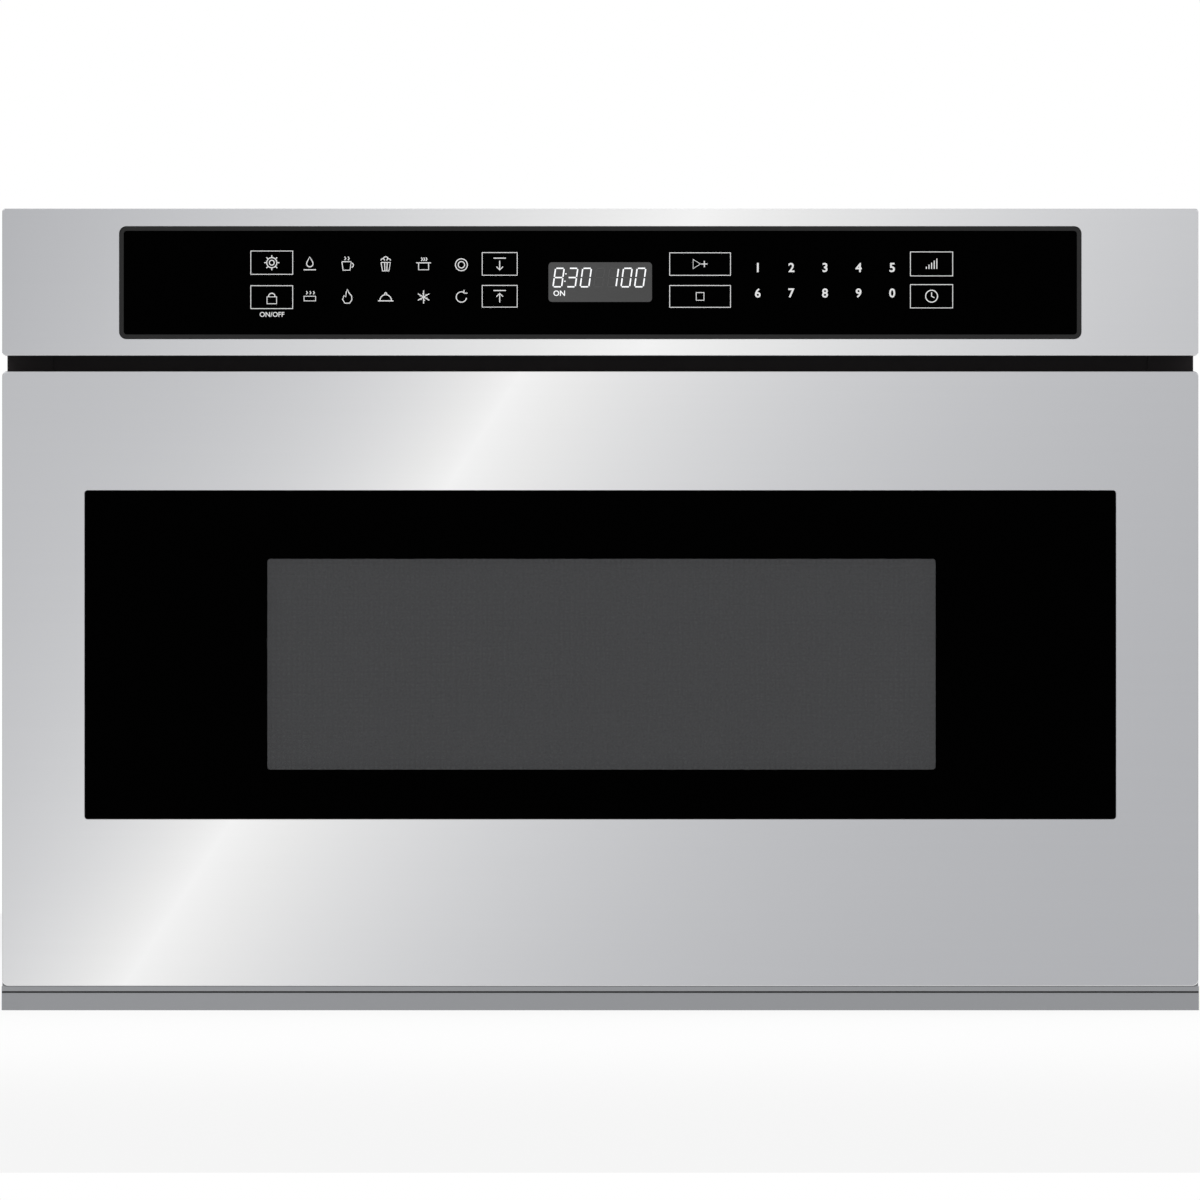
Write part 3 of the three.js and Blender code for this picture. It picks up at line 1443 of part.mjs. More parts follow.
// ------------------------------------------------------------------ latch hooks and door switches
function latchHook(side) {
  const x = side * hookX;
  const low = hookHeight - hookWidth / 2;
  const tip = doorBack + hookReach;
  const nose = outline([
    [behindPlate, low + 3],
    [tip - 12, low + 5],
    [tip - 10, low],
    [tip - 2, low + 4],
    ...arc([tip - 4, hookHeight + 1], 4, 0, 90, 3),
    [behindPlate, low + hookWidth - 2],
  ]);
  const foot = panel(span(x, 20), span(hookHeight, hookWidth), 3);
  return join(
    alongX(nose, span(x, hookSheet)),
    alongY(foot, [behindPlate, behindPlate + driveSheet]),
  );
}

// The switch stands behind the hook on an angle fixed to the front frame.
function doorSwitch(side) {
  const x = side * hookX;
  const tip = doorBack + hookReach;
  const leg = x + side * (hookSheet / 2 + 9);
  const start = tip + 2;
  const angle = bent([
    [leg + side * 16, behindFrame + driveSheet / 2],
    [leg, behindFrame + driveSheet / 2],
    [leg, start + switchLength + 6],
  ], driveSheet);
  const high = span(hookHeight, 12);
  const body = [x - side * 5, leg].sort((a, b) => a - b);
  const tabs = [-3.5, 3.5].map((z) => block(
    span(x, 0.8 + 4),
    [start + switchLength - 1, start + switchLength + 8],
    span(hookHeight + z, 0.8),
  ));
  const lever = bent([
    [start + 1, hookHeight + 5],
    [tip + 0.9, hookHeight + 3],
    [tip + 0.9, hookHeight - 5],
  ], 0.6);
  return join(
    alongZ(angle, span(hookHeight, 20)),
    block(body, [start, start + switchLength], high),
    alongX(lever, span(x, 4)),
    ...tabs,
  );
}

for (const [hand, side] of hands) {
  add(`${hand}_latch_hook`, latchHook(side), 'whitePlastic');
  add(`${hand}_door_switch`, doorSwitch(side), 'blackPlastic');
}

// ------------------------------------------------------------------ control panel
const controlX = span(0, controlWidth);
const controlGlassY = [frontFace, frontFace + controlGlassSheet];
add('control_glass', alongY(
  panel(
    grow(controlX, -controlRim - seat),
    grow(controlHigh, -controlRim - seat),
    controlCorner - controlRim,
  ),
  controlGlassY,
), 'blackGlass');

const carrierFloor = [controlGlassY[1] + seat, controlGlassY[1] + seat + carrierSheet];
const controlMiddle = controlBottom + controlHeight / 2;
const displayZ = span(controlMiddle, displayHeight);
const boardY = [carrierFloor[1] + carrierPost + seat, carrierFloor[1] + carrierPost + seat + boardSheet];

// The carrier shows as a narrow rim round the control glass and clips behind the bezel.
function controlCarrier() {
  const rim = pierced(
    panel(controlX, controlHigh, controlCorner),
    panel(grow(controlX, -controlRim), grow(controlHigh, -controlRim), controlCorner - controlRim),
  );
  const flangeY = [frontFace + sheet + seat, carrierFloor[1]];
  const flange = pierced(
    panel(grow(controlX, carrierFlange), grow(controlHigh, carrierFlange), controlCorner),
    panel(grow(controlX, -controlRim), grow(controlHigh, -controlRim), controlCorner - controlRim),
  );
  const floor = pierced(
    panel(grow(controlX, carrierFlange), grow(controlHigh, carrierFlange), controlCorner),
    panel(grow(span(displayX, displayWidth), 2), grow(displayZ, 2), 2),
  );
  const posts = [-1, 1].flatMap((u) => [-1, 1].map((v) => bar(
    'y',
    [u * (controlBoardWidth / 2 - 8), controlMiddle + v * (controlHeight / 2 - carrierPost)],
    [carrierFloor[1] - 0.5, carrierFloor[1] + carrierPost],
    3,
  )));
  return join(
    alongY(rim, [frontFace, carrierFloor[1]]),
    alongY(flange, flangeY),
    alongY(floor, carrierFloor),
    ...posts,
  );
}

add('control_carrier', controlCarrier(), 'blackPlastic');

add('display_module', join(
  alongY(
    panel(span(displayX, displayWidth), displayZ, 1),
    [carrierFloor[0], boardY[0] - seat],
  ),
), 'greyPlastic');

function controlBoard() {
  const high = grow(controlHigh, -1);
  const back = boardY[1];
  const row = (places, [width, height, reach], share) => places.map((place) => block(
    span(place * controlBoardWidth, width),
    [back - boardSheet / 2, back + reach],
    span(high[0] + (high[1] - high[0]) * share, height),
  ));
  const chips = row([-0.4, -0.25, 0.25, 0.37], [chipWidth, chipHeight, chipRise], 0.62);
  const plugs = row([-0.16, -0.08, 0.08, 0.16], [plugWidth, plugHeight, plugRise], 0.16);
  return join(
    alongY(panel(span(0, controlBoardWidth), high, 2), boardY),
    ...chips,
    ...plugs,
    bar('y', [0, controlMiddle], [back - boardSheet / 2, back + buzzerRise], buzzerRadius),
  );
}

add('control_board', controlBoard(), 'circuitBoard');

export default microwaveDrawer;
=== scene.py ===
from math import cos, pi, radians, sin

import bmesh
import bpy
from mathutils import Matrix, Vector


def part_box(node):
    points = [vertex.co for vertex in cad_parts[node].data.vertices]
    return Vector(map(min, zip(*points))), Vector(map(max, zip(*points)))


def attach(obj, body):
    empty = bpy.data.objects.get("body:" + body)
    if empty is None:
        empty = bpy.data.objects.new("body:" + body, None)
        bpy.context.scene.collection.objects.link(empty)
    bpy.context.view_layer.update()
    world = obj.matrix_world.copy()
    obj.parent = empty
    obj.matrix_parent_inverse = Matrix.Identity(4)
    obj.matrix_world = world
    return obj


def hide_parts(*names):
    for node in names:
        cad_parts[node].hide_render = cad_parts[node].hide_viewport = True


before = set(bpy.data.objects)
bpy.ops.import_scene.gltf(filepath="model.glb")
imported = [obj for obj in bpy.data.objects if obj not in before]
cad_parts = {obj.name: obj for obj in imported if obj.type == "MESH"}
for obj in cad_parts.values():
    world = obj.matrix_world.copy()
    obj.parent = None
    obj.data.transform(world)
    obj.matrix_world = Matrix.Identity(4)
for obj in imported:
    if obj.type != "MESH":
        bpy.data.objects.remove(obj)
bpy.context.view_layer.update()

# A built-in microwave drawer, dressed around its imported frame. Metres, +Z up, front towards -Y.
scene = bpy.context.scene
mm = 0.001
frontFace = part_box("drawer_front_panel")[0].y


def straight(level):  # a grey level of 0 to 255 as a linear value
    share = level / 255
    return share / 12.92 if share <= 0.04045 else ((share + 0.055) / 1.055) ** 2.4


greenLift = 0.3  # of a cool grey, as a share of what lifts its blue


def grey(level, cool=0.0):  # cool lifts the blue a little, and the green less
    return (straight(level), straight(level + cool * greenLift), straight(level + cool), 1.0)


def connect(tree, value, socket):  # a link from another socket, or a plain value
    if isinstance(value, bpy.types.NodeSocket):
        tree.links.new(value, socket)
    else:
        socket.default_value = value


# The camera stands far off behind a long lens, so that the front shows almost without perspective.
studio = {
    "lens": 1400,
    "sensor": 36,
    "farEnd": 400,
    "frameWidth": 0.607716,  # what the frame takes in at the drawer's face
    "middle": (-0.00015, 0.20779),  # X and Z at the middle of the frame
    "floorSize": 14.0,
    "floorTone": 0.88,
    "floorRough": 0.9,
    "floorShine": 0.1,
    "floorGlow": 0.8,  # share of the floor that is plain white to the eye, while the rest has the shadow
    "ambient": 0.62,
    "mirrored": 0.97,  # how bright the room looks in metal and glass
    "lampTarget": (0, 0, 0.2),
    "lamps": {
        "key": {"place": (-1.9, -2.3, 2.6), "size": 1.8, "power": 40},
        "fill": {"place": (2.4, -1.9, 1.5), "size": 2.0, "power": 20},
        "top": {"place": (0.2, 0.4, 3.0), "size": 2.2, "power": 9},
        "back": {"place": (0.6, 3.0, 1.8), "size": 2.0, "power": 16},
    },
}


def makeCamera():
    data = bpy.data.cameras.new("camera")
    data.lens = studio["lens"]
    data.sensor_width = studio["sensor"]
    data.clip_end = studio["farEnd"]
    away = studio["frameWidth"] * data.lens / data.sensor_width
    camera = bpy.data.objects.new("camera", data)
    camera.location = (studio["middle"][0], frontFace - away, studio["middle"][1])
    camera.rotation_euler = (pi / 2, 0, 0)
    scene.collection.objects.link(camera)
    scene.camera = camera


def makeLamp(name, place, size, power):
    data = bpy.data.lights.new(name, "AREA")
    data.shape = "SQUARE"
    data.size = size
    data.energy = power
    lamp = bpy.data.objects.new(name, data)
    lamp.location = place
    aim = Vector(studio["lampTarget"]) - Vector(place)
    lamp.rotation_euler = aim.to_track_quat("-Z", "Y").to_euler()
    lamp.visible_camera = False
    scene.collection.objects.link(lamp)


def seenRays(tree):  # 1 for camera, glossy and transmitted rays
    path = tree.nodes.new("ShaderNodeLightPath")
    seen = path.outputs["Is Camera Ray"]
    for ray in ("Is Glossy Ray", "Is Transmission Ray"):
        either = tree.nodes.new("ShaderNodeMath")
        either.operation = "MAXIMUM"
        tree.links.new(seen, either.inputs[0])
        tree.links.new(path.outputs[ray], either.inputs[1])
        seen = either.outputs[0]
    return path, seen


def makeRoom():  # white to the eye, and a little dimmer as light
    world = bpy.data.worlds.new("room")
    world.use_nodes = True
    scene.world = world
    tree = world.node_tree
    background = tree.nodes["Background"]
    background.inputs["Color"].default_value = (1, 1, 1, 1)
    path, seen = seenRays(tree)
    strength = tree.nodes.new("ShaderNodeMapRange")
    strength.inputs["To Min"].default_value = studio["ambient"]
    strength.inputs["To Max"].default_value = studio["mirrored"]
    tree.links.new(seen, strength.inputs["Value"])
    white = tree.nodes.new("ShaderNodeMath")
    white.operation = "MAXIMUM"
    tree.links.new(strength.outputs["Result"], white.inputs[0])
    tree.links.new(path.outputs["Is Camera Ray"], white.inputs[1])
    tree.links.new(white.outputs[0], background.inputs["Strength"])


def makeFloor():
    bm = bmesh.new()
    bmesh.ops.create_grid(bm, x_segments=1, y_segments=1, size=studio["floorSize"] / 2)
    mesh = bpy.data.meshes.new("floor")
    bm.to_mesh(mesh)
    bm.free()
    floor = bpy.data.objects.new("floor", mesh)
    scene.collection.objects.link(floor)
    pale = bpy.data.materials.new("paleFloor")
    pale.use_nodes = True
    tree = pale.node_tree
    matt = tree.nodes["Principled BSDF"]
    matt.inputs["Base Color"].default_value = (*[studio["floorTone"]] * 3, 1)
    matt.inputs["Roughness"].default_value = studio["floorRough"]
    matt.inputs["Specular IOR Level"].default_value = studio["floorShine"]
    glow = tree.nodes.new("ShaderNodeEmission")
    share = tree.nodes.new("ShaderNodeMath")
    share.operation = "MULTIPLY"
    share.inputs[1].default_value = studio["floorGlow"]
    tree.links.new(seenRays(tree)[1], share.inputs[0])
    blend = tree.nodes.new("ShaderNodeMixShader")
    tree.links.new(share.outputs[0], blend.inputs["Fac"])
    tree.links.new(matt.outputs["BSDF"], blend.inputs[1])
    tree.links.new(glow.outputs["Emission"], blend.inputs[2])
    tree.links.new(blend.outputs["Shader"], tree.nodes["Material Output"].inputs["Surface"])
    mesh.materials.append(pale)


makeCamera()
for lampName, lampSettings in studio["lamps"].items():
    makeLamp(lampName, **lampSettings)
makeRoom()
makeFloor()
scene.view_settings.view_transform = "Standard"
print("camera, floor and lamps are set")


# Node groups for what several finishes share. Each puts out colours, masks, values or normals.
def newGroup(name, inputs, outputs):
    group = bpy.data.node_groups.new(name, "ShaderNodeTree")
    for socket, kind, value in inputs:
        made = group.interface.new_socket(socket, in_out="INPUT", socket_type=kind)
        made.default_value = value
    for socket, kind in outputs:
        group.interface.new_socket(socket, in_out="OUTPUT", socket_type=kind)
    return group, group.nodes.new("NodeGroupInput"), group.nodes.new("NodeGroupOutput")


def maths(tree, operation, first, second=0.0, clamp=False):
    node = tree.nodes.new("ShaderNodeMath")
    node.operation = operation
    node.use_clamp = clamp
    connect(tree, first, node.inputs[0])
    connect(tree, second, node.inputs[1])
    return node.outputs[0]


def vectorMaths(tree, operation, first, second=None, scale=None):
    node = tree.nodes.new("ShaderNodeVectorMath")
    node.operation = operation
    connect(tree, first, node.inputs[0])
    if second is not None:
        connect(tree, second, node.inputs[1])
    if scale is not None:
        connect(tree, scale, node.inputs["Scale"])
    return node.outputs["Value" if operation == "DOT_PRODUCT" else "Vector"]


def mixed(tree, kind, factor, first, second):  # kind is RGBA or FLOAT
    node = tree.nodes.new("ShaderNodeMix")
    node.data_type = kind
    connect(tree, factor, node.inputs["Factor"])
    connect(tree, first, node.inputs["A"])
    connect(tree, second, node.inputs["B"])
    return node.outputs["Result"]


def mapped(tree, value, low, high, smooth=False):  # 0 at low and 1 at high
    node = tree.nodes.new("ShaderNodeMapRange")
    node.interpolation_type = "SMOOTHSTEP" if smooth else "LINEAR"
    node.inputs["From Min"].default_value = low
    node.inputs["From Max"].default_value = high
    connect(tree, value, node.inputs["Value"])
    return node.outputs["Result"]


def placeOf(tree, scale=(1, 1, 1)):  # object coordinates, stretched
    coords = tree.nodes.new("ShaderNodeTexCoord")
    mapping = tree.nodes.new("ShaderNodeMapping")
    mapping.inputs["Scale"].default_value = scale
    tree.links.new(coords.outputs["Object"], mapping.inputs["Vector"])
    return mapping.outputs["Vector"]


def axesOf(tree, vector):
    split = tree.nodes.new("ShaderNodeSeparateXYZ")
    tree.links.new(vector, split.inputs["Vector"])
    return split.outputs


def noiseOn(tree, place, size, detail=2.0, rough=0.5):  # a larger size is a finer noise
    noise = tree.nodes.new("ShaderNodeTexNoise")
    noise.inputs["Scale"].default_value = size
    noise.inputs["Detail"].default_value = detail
    noise.inputs["Roughness"].default_value = rough
    tree.links.new(place, noise.inputs["Vector"])
    return noise.outputs["Fac"]


lookInputs = [
    ("Colour", "NodeSocketColor", (0.5, 0.5, 0.5, 1)),
    ("Contrast", "NodeSocketFloat", 0.05),
    ("Roughness", "NodeSocketFloat", 0.4),
    ("Spread", "NodeSocketFloat", 0.05),
]
lookOutputs = [
    ("Colour", "NodeSocketColor"),
    ("Roughness", "NodeSocketFloat"),
    ("Height", "NodeSocketFloat"),
]


def endLook(group, start, end, shade, gloss, height):  # shade and gloss vary about a half
    centred = maths(group, "SUBTRACT", shade, 0.5)
    factor = maths(group, "MULTIPLY", centred, start.outputs["Contrast"])
    factor = maths(group, "ADD", factor, 1.0)
    colour = vectorMaths(group, "SCALE", start.outputs["Colour"], scale=factor)
    group.links.new(colour, end.inputs["Colour"])
    rough = maths(group, "MULTIPLY", maths(group, "SUBTRACT", gloss, 0.5), start.outputs["Spread"])
    rough = maths(group, "ADD", rough, start.outputs["Roughness"], clamp=True)
    group.links.new(rough, end.inputs["Roughness"])
    group.links.new(height, end.inputs["Height"])


# Fine scratches drawn out along one axis, with broader ones among them, under soft clouds.
brushing = {"broader": 0.12, "broadShare": 0.4, "cloudSize": 7.0, "cloudShare": 0.3}


def brushedLook(name, scale):
    group, start, end = newGroup(name, lookInputs, lookOutputs)
    fine = noiseOn(group, placeOf(group, scale), 1.0, detail=3.0, rough=0.6)
    broad = noiseOn(group, placeOf(group, tuple(s * brushing["broader"] for s in scale)), 1.0)
    cloud = noiseOn(group, placeOf(group), brushing["cloudSize"])
    shade = mixed(group, "FLOAT", brushing["broadShare"], fine, broad)
    gloss = mixed(group, "FLOAT", brushing["cloudShare"], shade, cloud)
    endLook(group, start, end, shade, gloss, fine)
    return group


def mottledLook(name, size, grain, grainShare=0.3):  # soft clouds and a moulded or painted grain
    group, start, end = newGroup(name, lookInputs, lookOutputs)
    cloud = noiseOn(group, placeOf(group), size, detail=3.0, rough=0.55)
    fine = noiseOn(group, placeOf(group), grain, rough=0.6)
    endLook(group, start, end, mixed(group, "FLOAT", grainShare, cloud, fine), cloud, fine)
    return group


# The crystals of a zinc coating. A noise so many times as fine makes their borders drift by a share
# of a crystal, and stains lie over them.
spangle = {"finer": 1.6, "drift": 0.6, "stainSize": 6.0, "stainShare": 0.5}


def spangledLook(name, size):
    group, start, end = newGroup(name, lookInputs, lookOutputs)
    place = placeOf(group)
    warp = group.nodes.new("ShaderNodeTexNoise")
    warp.inputs["Scale"].default_value = size * spangle["finer"]
    group.links.new(place, warp.inputs["Vector"])
    drift = vectorMaths(group, "SCALE", warp.outputs["Color"], scale=spangle["drift"] / size)
    cells = group.nodes.new("ShaderNodeTexVoronoi")
    cells.inputs["Scale"].default_value = size
    group.links.new(vectorMaths(group, "ADD", place, drift), cells.inputs["Vector"])
    tone = group.nodes.new("ShaderNodeSeparateColor")
    group.links.new(cells.outputs["Color"], tone.inputs["Color"])
    stain = noiseOn(group, place, spangle["stainSize"], detail=3.0)
    shade = mixed(group, "FLOAT", spangle["stainShare"], tone.outputs["Red"], stain)
    endLook(group, start, end, shade, tone.outputs["Green"], cells.outputs["Distance"])
    return group


stacking = {"contrast": 0.4, "glossSize": 60.0}


def stackedLook(name, axis, pitch):  # thin sheets or windings, one beside the other along an axis
    group, start, end = newGroup(name, lookInputs, lookOutputs)
    way = axesOf(group, placeOf(group))[axis]
    wave = maths(group, "SINE", maths(group, "MULTIPLY", way, 2 * pi / pitch))
    lines = maths(group, "ADD", maths(group, "MULTIPLY", wave, stacking["contrast"]), 0.5)
    endLook(group, start, end, lines, noiseOn(group, placeOf(group), stacking["glossSize"]), lines)
    return group


paintedHighlightTint = {"pale": 0.84, "dark": 0.44, "Green": 0.014, "Blue": 0.06}  # the darker levels of the painted highlight are tinted cooler


def paintedHighlightLook(name):  # a painted highlight band that leans across a face and fades to both sides of a ridge
    group, start, end = newGroup(name, [
        ("Lean", "NodeSocketFloat", 0.6),
        ("Foot", "NodeSocketFloat", 0.0),
        ("Peak", "NodeSocketFloat", 0.9),
        ("Left Far", "NodeSocketFloat", 0.5),
        ("Left Reach", "NodeSocketFloat", 0.1),
        ("Right Far", "NodeSocketFloat", 0.5),
        ("Right Reach", "NodeSocketFloat", 0.1),
    ], [("Colour", "NodeSocketColor")])
    axes = axesOf(group, placeOf(group))
    ridge = maths(group, "MULTIPLY", axes["Z"], start.outputs["Lean"])
    ridge = maths(group, "ADD", ridge, start.outputs["Foot"])
    beside = maths(group, "SUBTRACT", axes["X"], ridge)
    right = maths(group, "GREATER_THAN", beside, 0.0)
    far, reach = [
        mixed(group, "FLOAT", right, start.outputs["Left " + key], start.outputs["Right " + key])
        for key in ("Far", "Reach")
    ]
    fade = maths(group, "DIVIDE", maths(group, "ABSOLUTE", beside), reach)
    fade = maths(group, "EXPONENT", maths(group, "MULTIPLY", fade, -1.0))
    level = mixed(group, "FLOAT", fade, far, start.outputs["Peak"])
    cool = mapped(group, level, paintedHighlightTint["pale"], paintedHighlightTint["dark"])
    colour = group.nodes.new("ShaderNodeCombineColor")
    group.links.new(level, colour.inputs["Red"])
    for channel in ("Green", "Blue"):
        lift = maths(group, "ADD", maths(group, "MULTIPLY", cool, paintedHighlightTint[channel]), 1.0)
        group.links.new(maths(group, "MULTIPLY", level, lift), colour.inputs[channel])
    group.links.new(colour.outputs["Color"], end.inputs["Colour"])
    return group


# Each mask of a bend runs from 0 to 1 between two values of the normal's parts. The masks place painted
# shade and painted highlights on the bends of the fronts.
bendMasks = {"turned": (0.985, 0.80), "frontward": (0.02, 0.2), "down": (-0.05, -0.35), "up": (0.3, 0.7)}


def bendLook(name):  # masks for where a sheet bends away from its flat front, and for its top side, which carry painted shade and highlight
    outputs = [("Down", "NodeSocketFloat"), ("Away", "NodeSocketFloat"), ("Top", "NodeSocketFloat")]
    group, _, end = newGroup(name, [], outputs)
    coords = group.nodes.new("ShaderNodeTexCoord")
    axes = axesOf(group, coords.outputs["Normal"])
    ahead = maths(group, "MULTIPLY", axes["Y"], -1.0)
    turned = mapped(group, ahead, *bendMasks["turned"], smooth=True)
    frontward = mapped(group, ahead, *bendMasks["frontward"], smooth=True)
    turned = maths(group, "MULTIPLY", turned, frontward)
    down = mapped(group, axes["Z"], *bendMasks["down"], smooth=True)
    turnedDown = maths(group, "MULTIPLY", turned, down)
    group.links.new(turnedDown, end.inputs["Down"])
    group.links.new(maths(group, "SUBTRACT", turned, turnedDown), end.inputs["Away"])
    upward = mapped(group, axes["Z"], *bendMasks["up"], smooth=True)
    top = maths(group, "MULTIPLY", upward, maths(group, "SUBTRACT", 1.0, frontward))
    group.links.new(top, end.inputs["Top"])
    return group


wear = {"samples": 4, "edge": (0.995, 0.88), "patchSize": 90.0, "patches": (0.38, 0.62)}


def edgeLook(name):  # softened corners and the wear along them
    group, start, end = newGroup(name, [
        ("Radius", "NodeSocketFloat", 0.0004),
    ], [("Normal", "NodeSocketVector"), ("Worn", "NodeSocketFloat")])
    soft = group.nodes.new("ShaderNodeBevel")
    soft.samples = wear["samples"]
    group.links.new(start.outputs["Radius"], soft.inputs["Radius"])
    flat = group.nodes.new("ShaderNodeNewGeometry")
    alike = vectorMaths(group, "DOT_PRODUCT", soft.outputs["Normal"], flat.outputs["True Normal"])
    near = mapped(group, alike, *wear["edge"])
    patches = noiseOn(group, placeOf(group), wear["patchSize"], detail=4.0, rough=0.6)
    patchy = mapped(group, patches, *wear["patches"])
    group.links.new(soft.outputs["Normal"], end.inputs["Normal"])
    group.links.new(maths(group, "MULTIPLY", near, patchy), end.inputs["Worn"])
    return group


def boxLook(name):  # a mask that is 1 inside a box
    group, start, end = newGroup(name, [
        ("Low", "NodeSocketVector", (0, 0, 0)),
        ("High", "NodeSocketVector", (1, 1, 1)),
    ], [("Inside", "NodeSocketFloat")])
    place = placeOf(group)
    inside = None
    for first, second in ((place, start.outputs["Low"]), (start.outputs["High"], place)):
        for amount in axesOf(group, vectorMaths(group, "SUBTRACT", first, second)):
            test = maths(group, "GREATER_THAN", amount, 0.0)
            inside = test if inside is None else maths(group, "MULTIPLY", inside, test)
    group.links.new(inside, end.inputs["Inside"])
    return group


looks = {
    "brushedX": brushedLook("brushedAlongX", scale=(9, 900, 2600)),
    "brushedY": brushedLook("brushedAlongY", scale=(1800, 9, 1800)),
    "mottled": mottledLook("mottled", size=9.0, grain=900.0),
    "smooth": mottledLook("smooth", size=5.0, grain=300.0),
    "spangled": spangledLook("spangled", size=130.0),
    "sheetsY": stackedLook("sheetsAlongY", axis="Y", pitch=1.0 * mm),
    "sheetsX": stackedLook("sheetsAlongX", axis="X", pitch=0.8 * mm),
    "windings": stackedLook("windingsAlongZ", axis="Z", pitch=1.1 * mm),
    "paintedSheen": paintedHighlightLook("paintedHighlightBand"),
    "bend": bendLook("bendLightMasks"),
    "edge": edgeLook("softEdges"),
    "box": boxLook("insideBox"),
}
print("shared looks are built")


def useLook(tree, look, **values):  # a shared look in a material, with its own values
    node = tree.nodes.new("ShaderNodeGroup")
    node.node_tree = looks[look]
    for socket, value in values.items():
        connect(tree, value, node.inputs[socket])
    return node


def newFinish(
    name, look, colour, rough, metal=0.0, contrast=0.06, spread=0.08, bump=0.05, depth=0.1 * mm,
    edge=0.4 * mm, worn=1.25, shader=None,
):
    made = bpy.data.materials.new(name)
    made.use_nodes = True
    tree = made.node_tree
    body = tree.nodes["Principled BSDF"]
    body.inputs["Metallic"].default_value = metal
    for socket, value in (shader or {}).items():
        body.inputs[socket].default_value = value
    pattern = useLook(tree, look, Colour=colour, Contrast=contrast, Roughness=rough, Spread=spread)
    pattern.name = "pattern"
    shown = pattern.outputs["Colour"]
    if bump:
        relief = tree.nodes.new("ShaderNodeBump")
        relief.inputs["Strength"].default_value = bump
        relief.inputs["Distance"].default_value = depth
        tree.links.new(pattern.outputs["Height"], relief.inputs["Height"])
        tree.links.new(relief.outputs["Normal"], body.inputs["Normal"])
    if edge:
        soft = useLook(tree, "edge", Radius=edge)
        rubbed = vectorMaths(tree, "SCALE", shown, scale=worn)
        shown = mixed(tree, "RGBA", soft.outputs["Worn"], shown, rubbed)
        tree.links.new(soft.outputs["Normal"], (relief if bump else body).inputs["Normal"])
    tree.links.new(shown, body.inputs["Base Color"])
    tree.links.new(pattern.outputs["Roughness"], body.inputs["Roughness"])
    return made


brushedSteel = {
    "rough": 0.3, "metal": 1.0, "contrast": 0.035, "spread": 0.06, "bump": 0.04, "depth": 0.08 * mm,
    "shader": {"Anisotropic": 0.35},
}
# The painted highlight band takes the place of the face's own tone. A share of it lies on sides that turn
# away, as painted shade; bends that face down get a painted white highlight, and top sides a darker painted
# shade.
paintedBendLight = {"face": grey(190), "away": 0.62, "down": (1, 1, 1, 1), "top": grey(165, 3)}
# The ridge of each painted highlight band leans across the front, and its painted light fades beside it
# within a reach in metres.
paintedHighlights = {
    "drawer": {
        "Lean": 0.647, "Foot": -0.249, "Peak": 0.93,
        "Left Far": 0.502, "Left Reach": 0.085, "Right Far": 0.425, "Right Reach": 0.175,
    },
    "bezel": {
        "Lean": 0.395, "Foot": -0.1097, "Peak": 0.93,
        "Left Far": 0.02, "Left Reach": 0.51, "Right Far": 0.385, "Right Reach": 0.255,
    },
}


def paintedHighlightFinish(name, paintedSheen, face):  # brushed stainless under a painted highlight band, with painted shade and highlights on its bent edges
    made = newFinish(name, "brushedX", paintedBendLight["face"], edge=0, **brushedSteel)
    tree = made.node_tree
    highlightBand = useLook(tree, "paintedSheen", **paintedSheen)
    bend = useLook(tree, "bend")
    inner = useLook(tree, "box", Low=face[0], High=face[1])
    outer = maths(tree, "SUBTRACT", 1.0, inner.outputs["Inside"])
    away = maths(tree, "MULTIPLY", bend.outputs["Away"], outer)
    # painted shade on sides that turn away, a painted white highlight on bends that face down, and darker
    # painted shade on top sides
    paintedShade = vectorMaths(tree, "SCALE", highlightBand.outputs["Colour"], scale=paintedBendLight["away"])
    shown = mixed(tree, "RGBA", away, highlightBand.outputs["Colour"], paintedShade)
    shown = mixed(tree, "RGBA", bend.outputs["Down"], shown, paintedBendLight["down"])
    shown = mixed(tree, "RGBA", bend.outputs["Top"], shown, paintedBendLight["top"])
    tree.links.new(shown, tree.nodes["pattern"].inputs["Colour"])
    return made


beyond = 1.0 * mm  # how far a mask reaches past the sides of what it covers
# The trim's tone is darker than the fronts' steel, as painted shade under the drawer front.
shadedTrim = {"tone": grey(150, 4), "edge": 0.25 * mm}
# painted shade: a dark tone in the trim's groove, where shade falls
paintedGrooveShade = {"front": 1.2 * mm, "back": 6.5 * mm, "low": 8.82 * mm, "high": 9.68 * mm, "tone": grey(66)}


def trimFinish():  # the same steel in a darker tone, as painted shade under the drawer front, with painted shade in the groove under the bright lip
    made = newFinish("stainlessTrim", "brushedX", shadedTrim["tone"], edge=shadedTrim["edge"], **brushedSteel)
    tree = made.node_tree
    low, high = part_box("bottom_trim")
    inside = useLook(
        tree, "box",
        Low=(low.x - beyond, low.y + paintedGrooveShade["front"], paintedGrooveShade["low"]),
        High=(high.x + beyond, low.y + paintedGrooveShade["back"], paintedGrooveShade["high"]),
    )
    shown = mixed(tree, "RGBA", inside.outputs["Inside"], shadedTrim["tone"], paintedGrooveShade["tone"])
    tree.links.new(shown, tree.nodes["pattern"].inputs["Colour"])
    return made


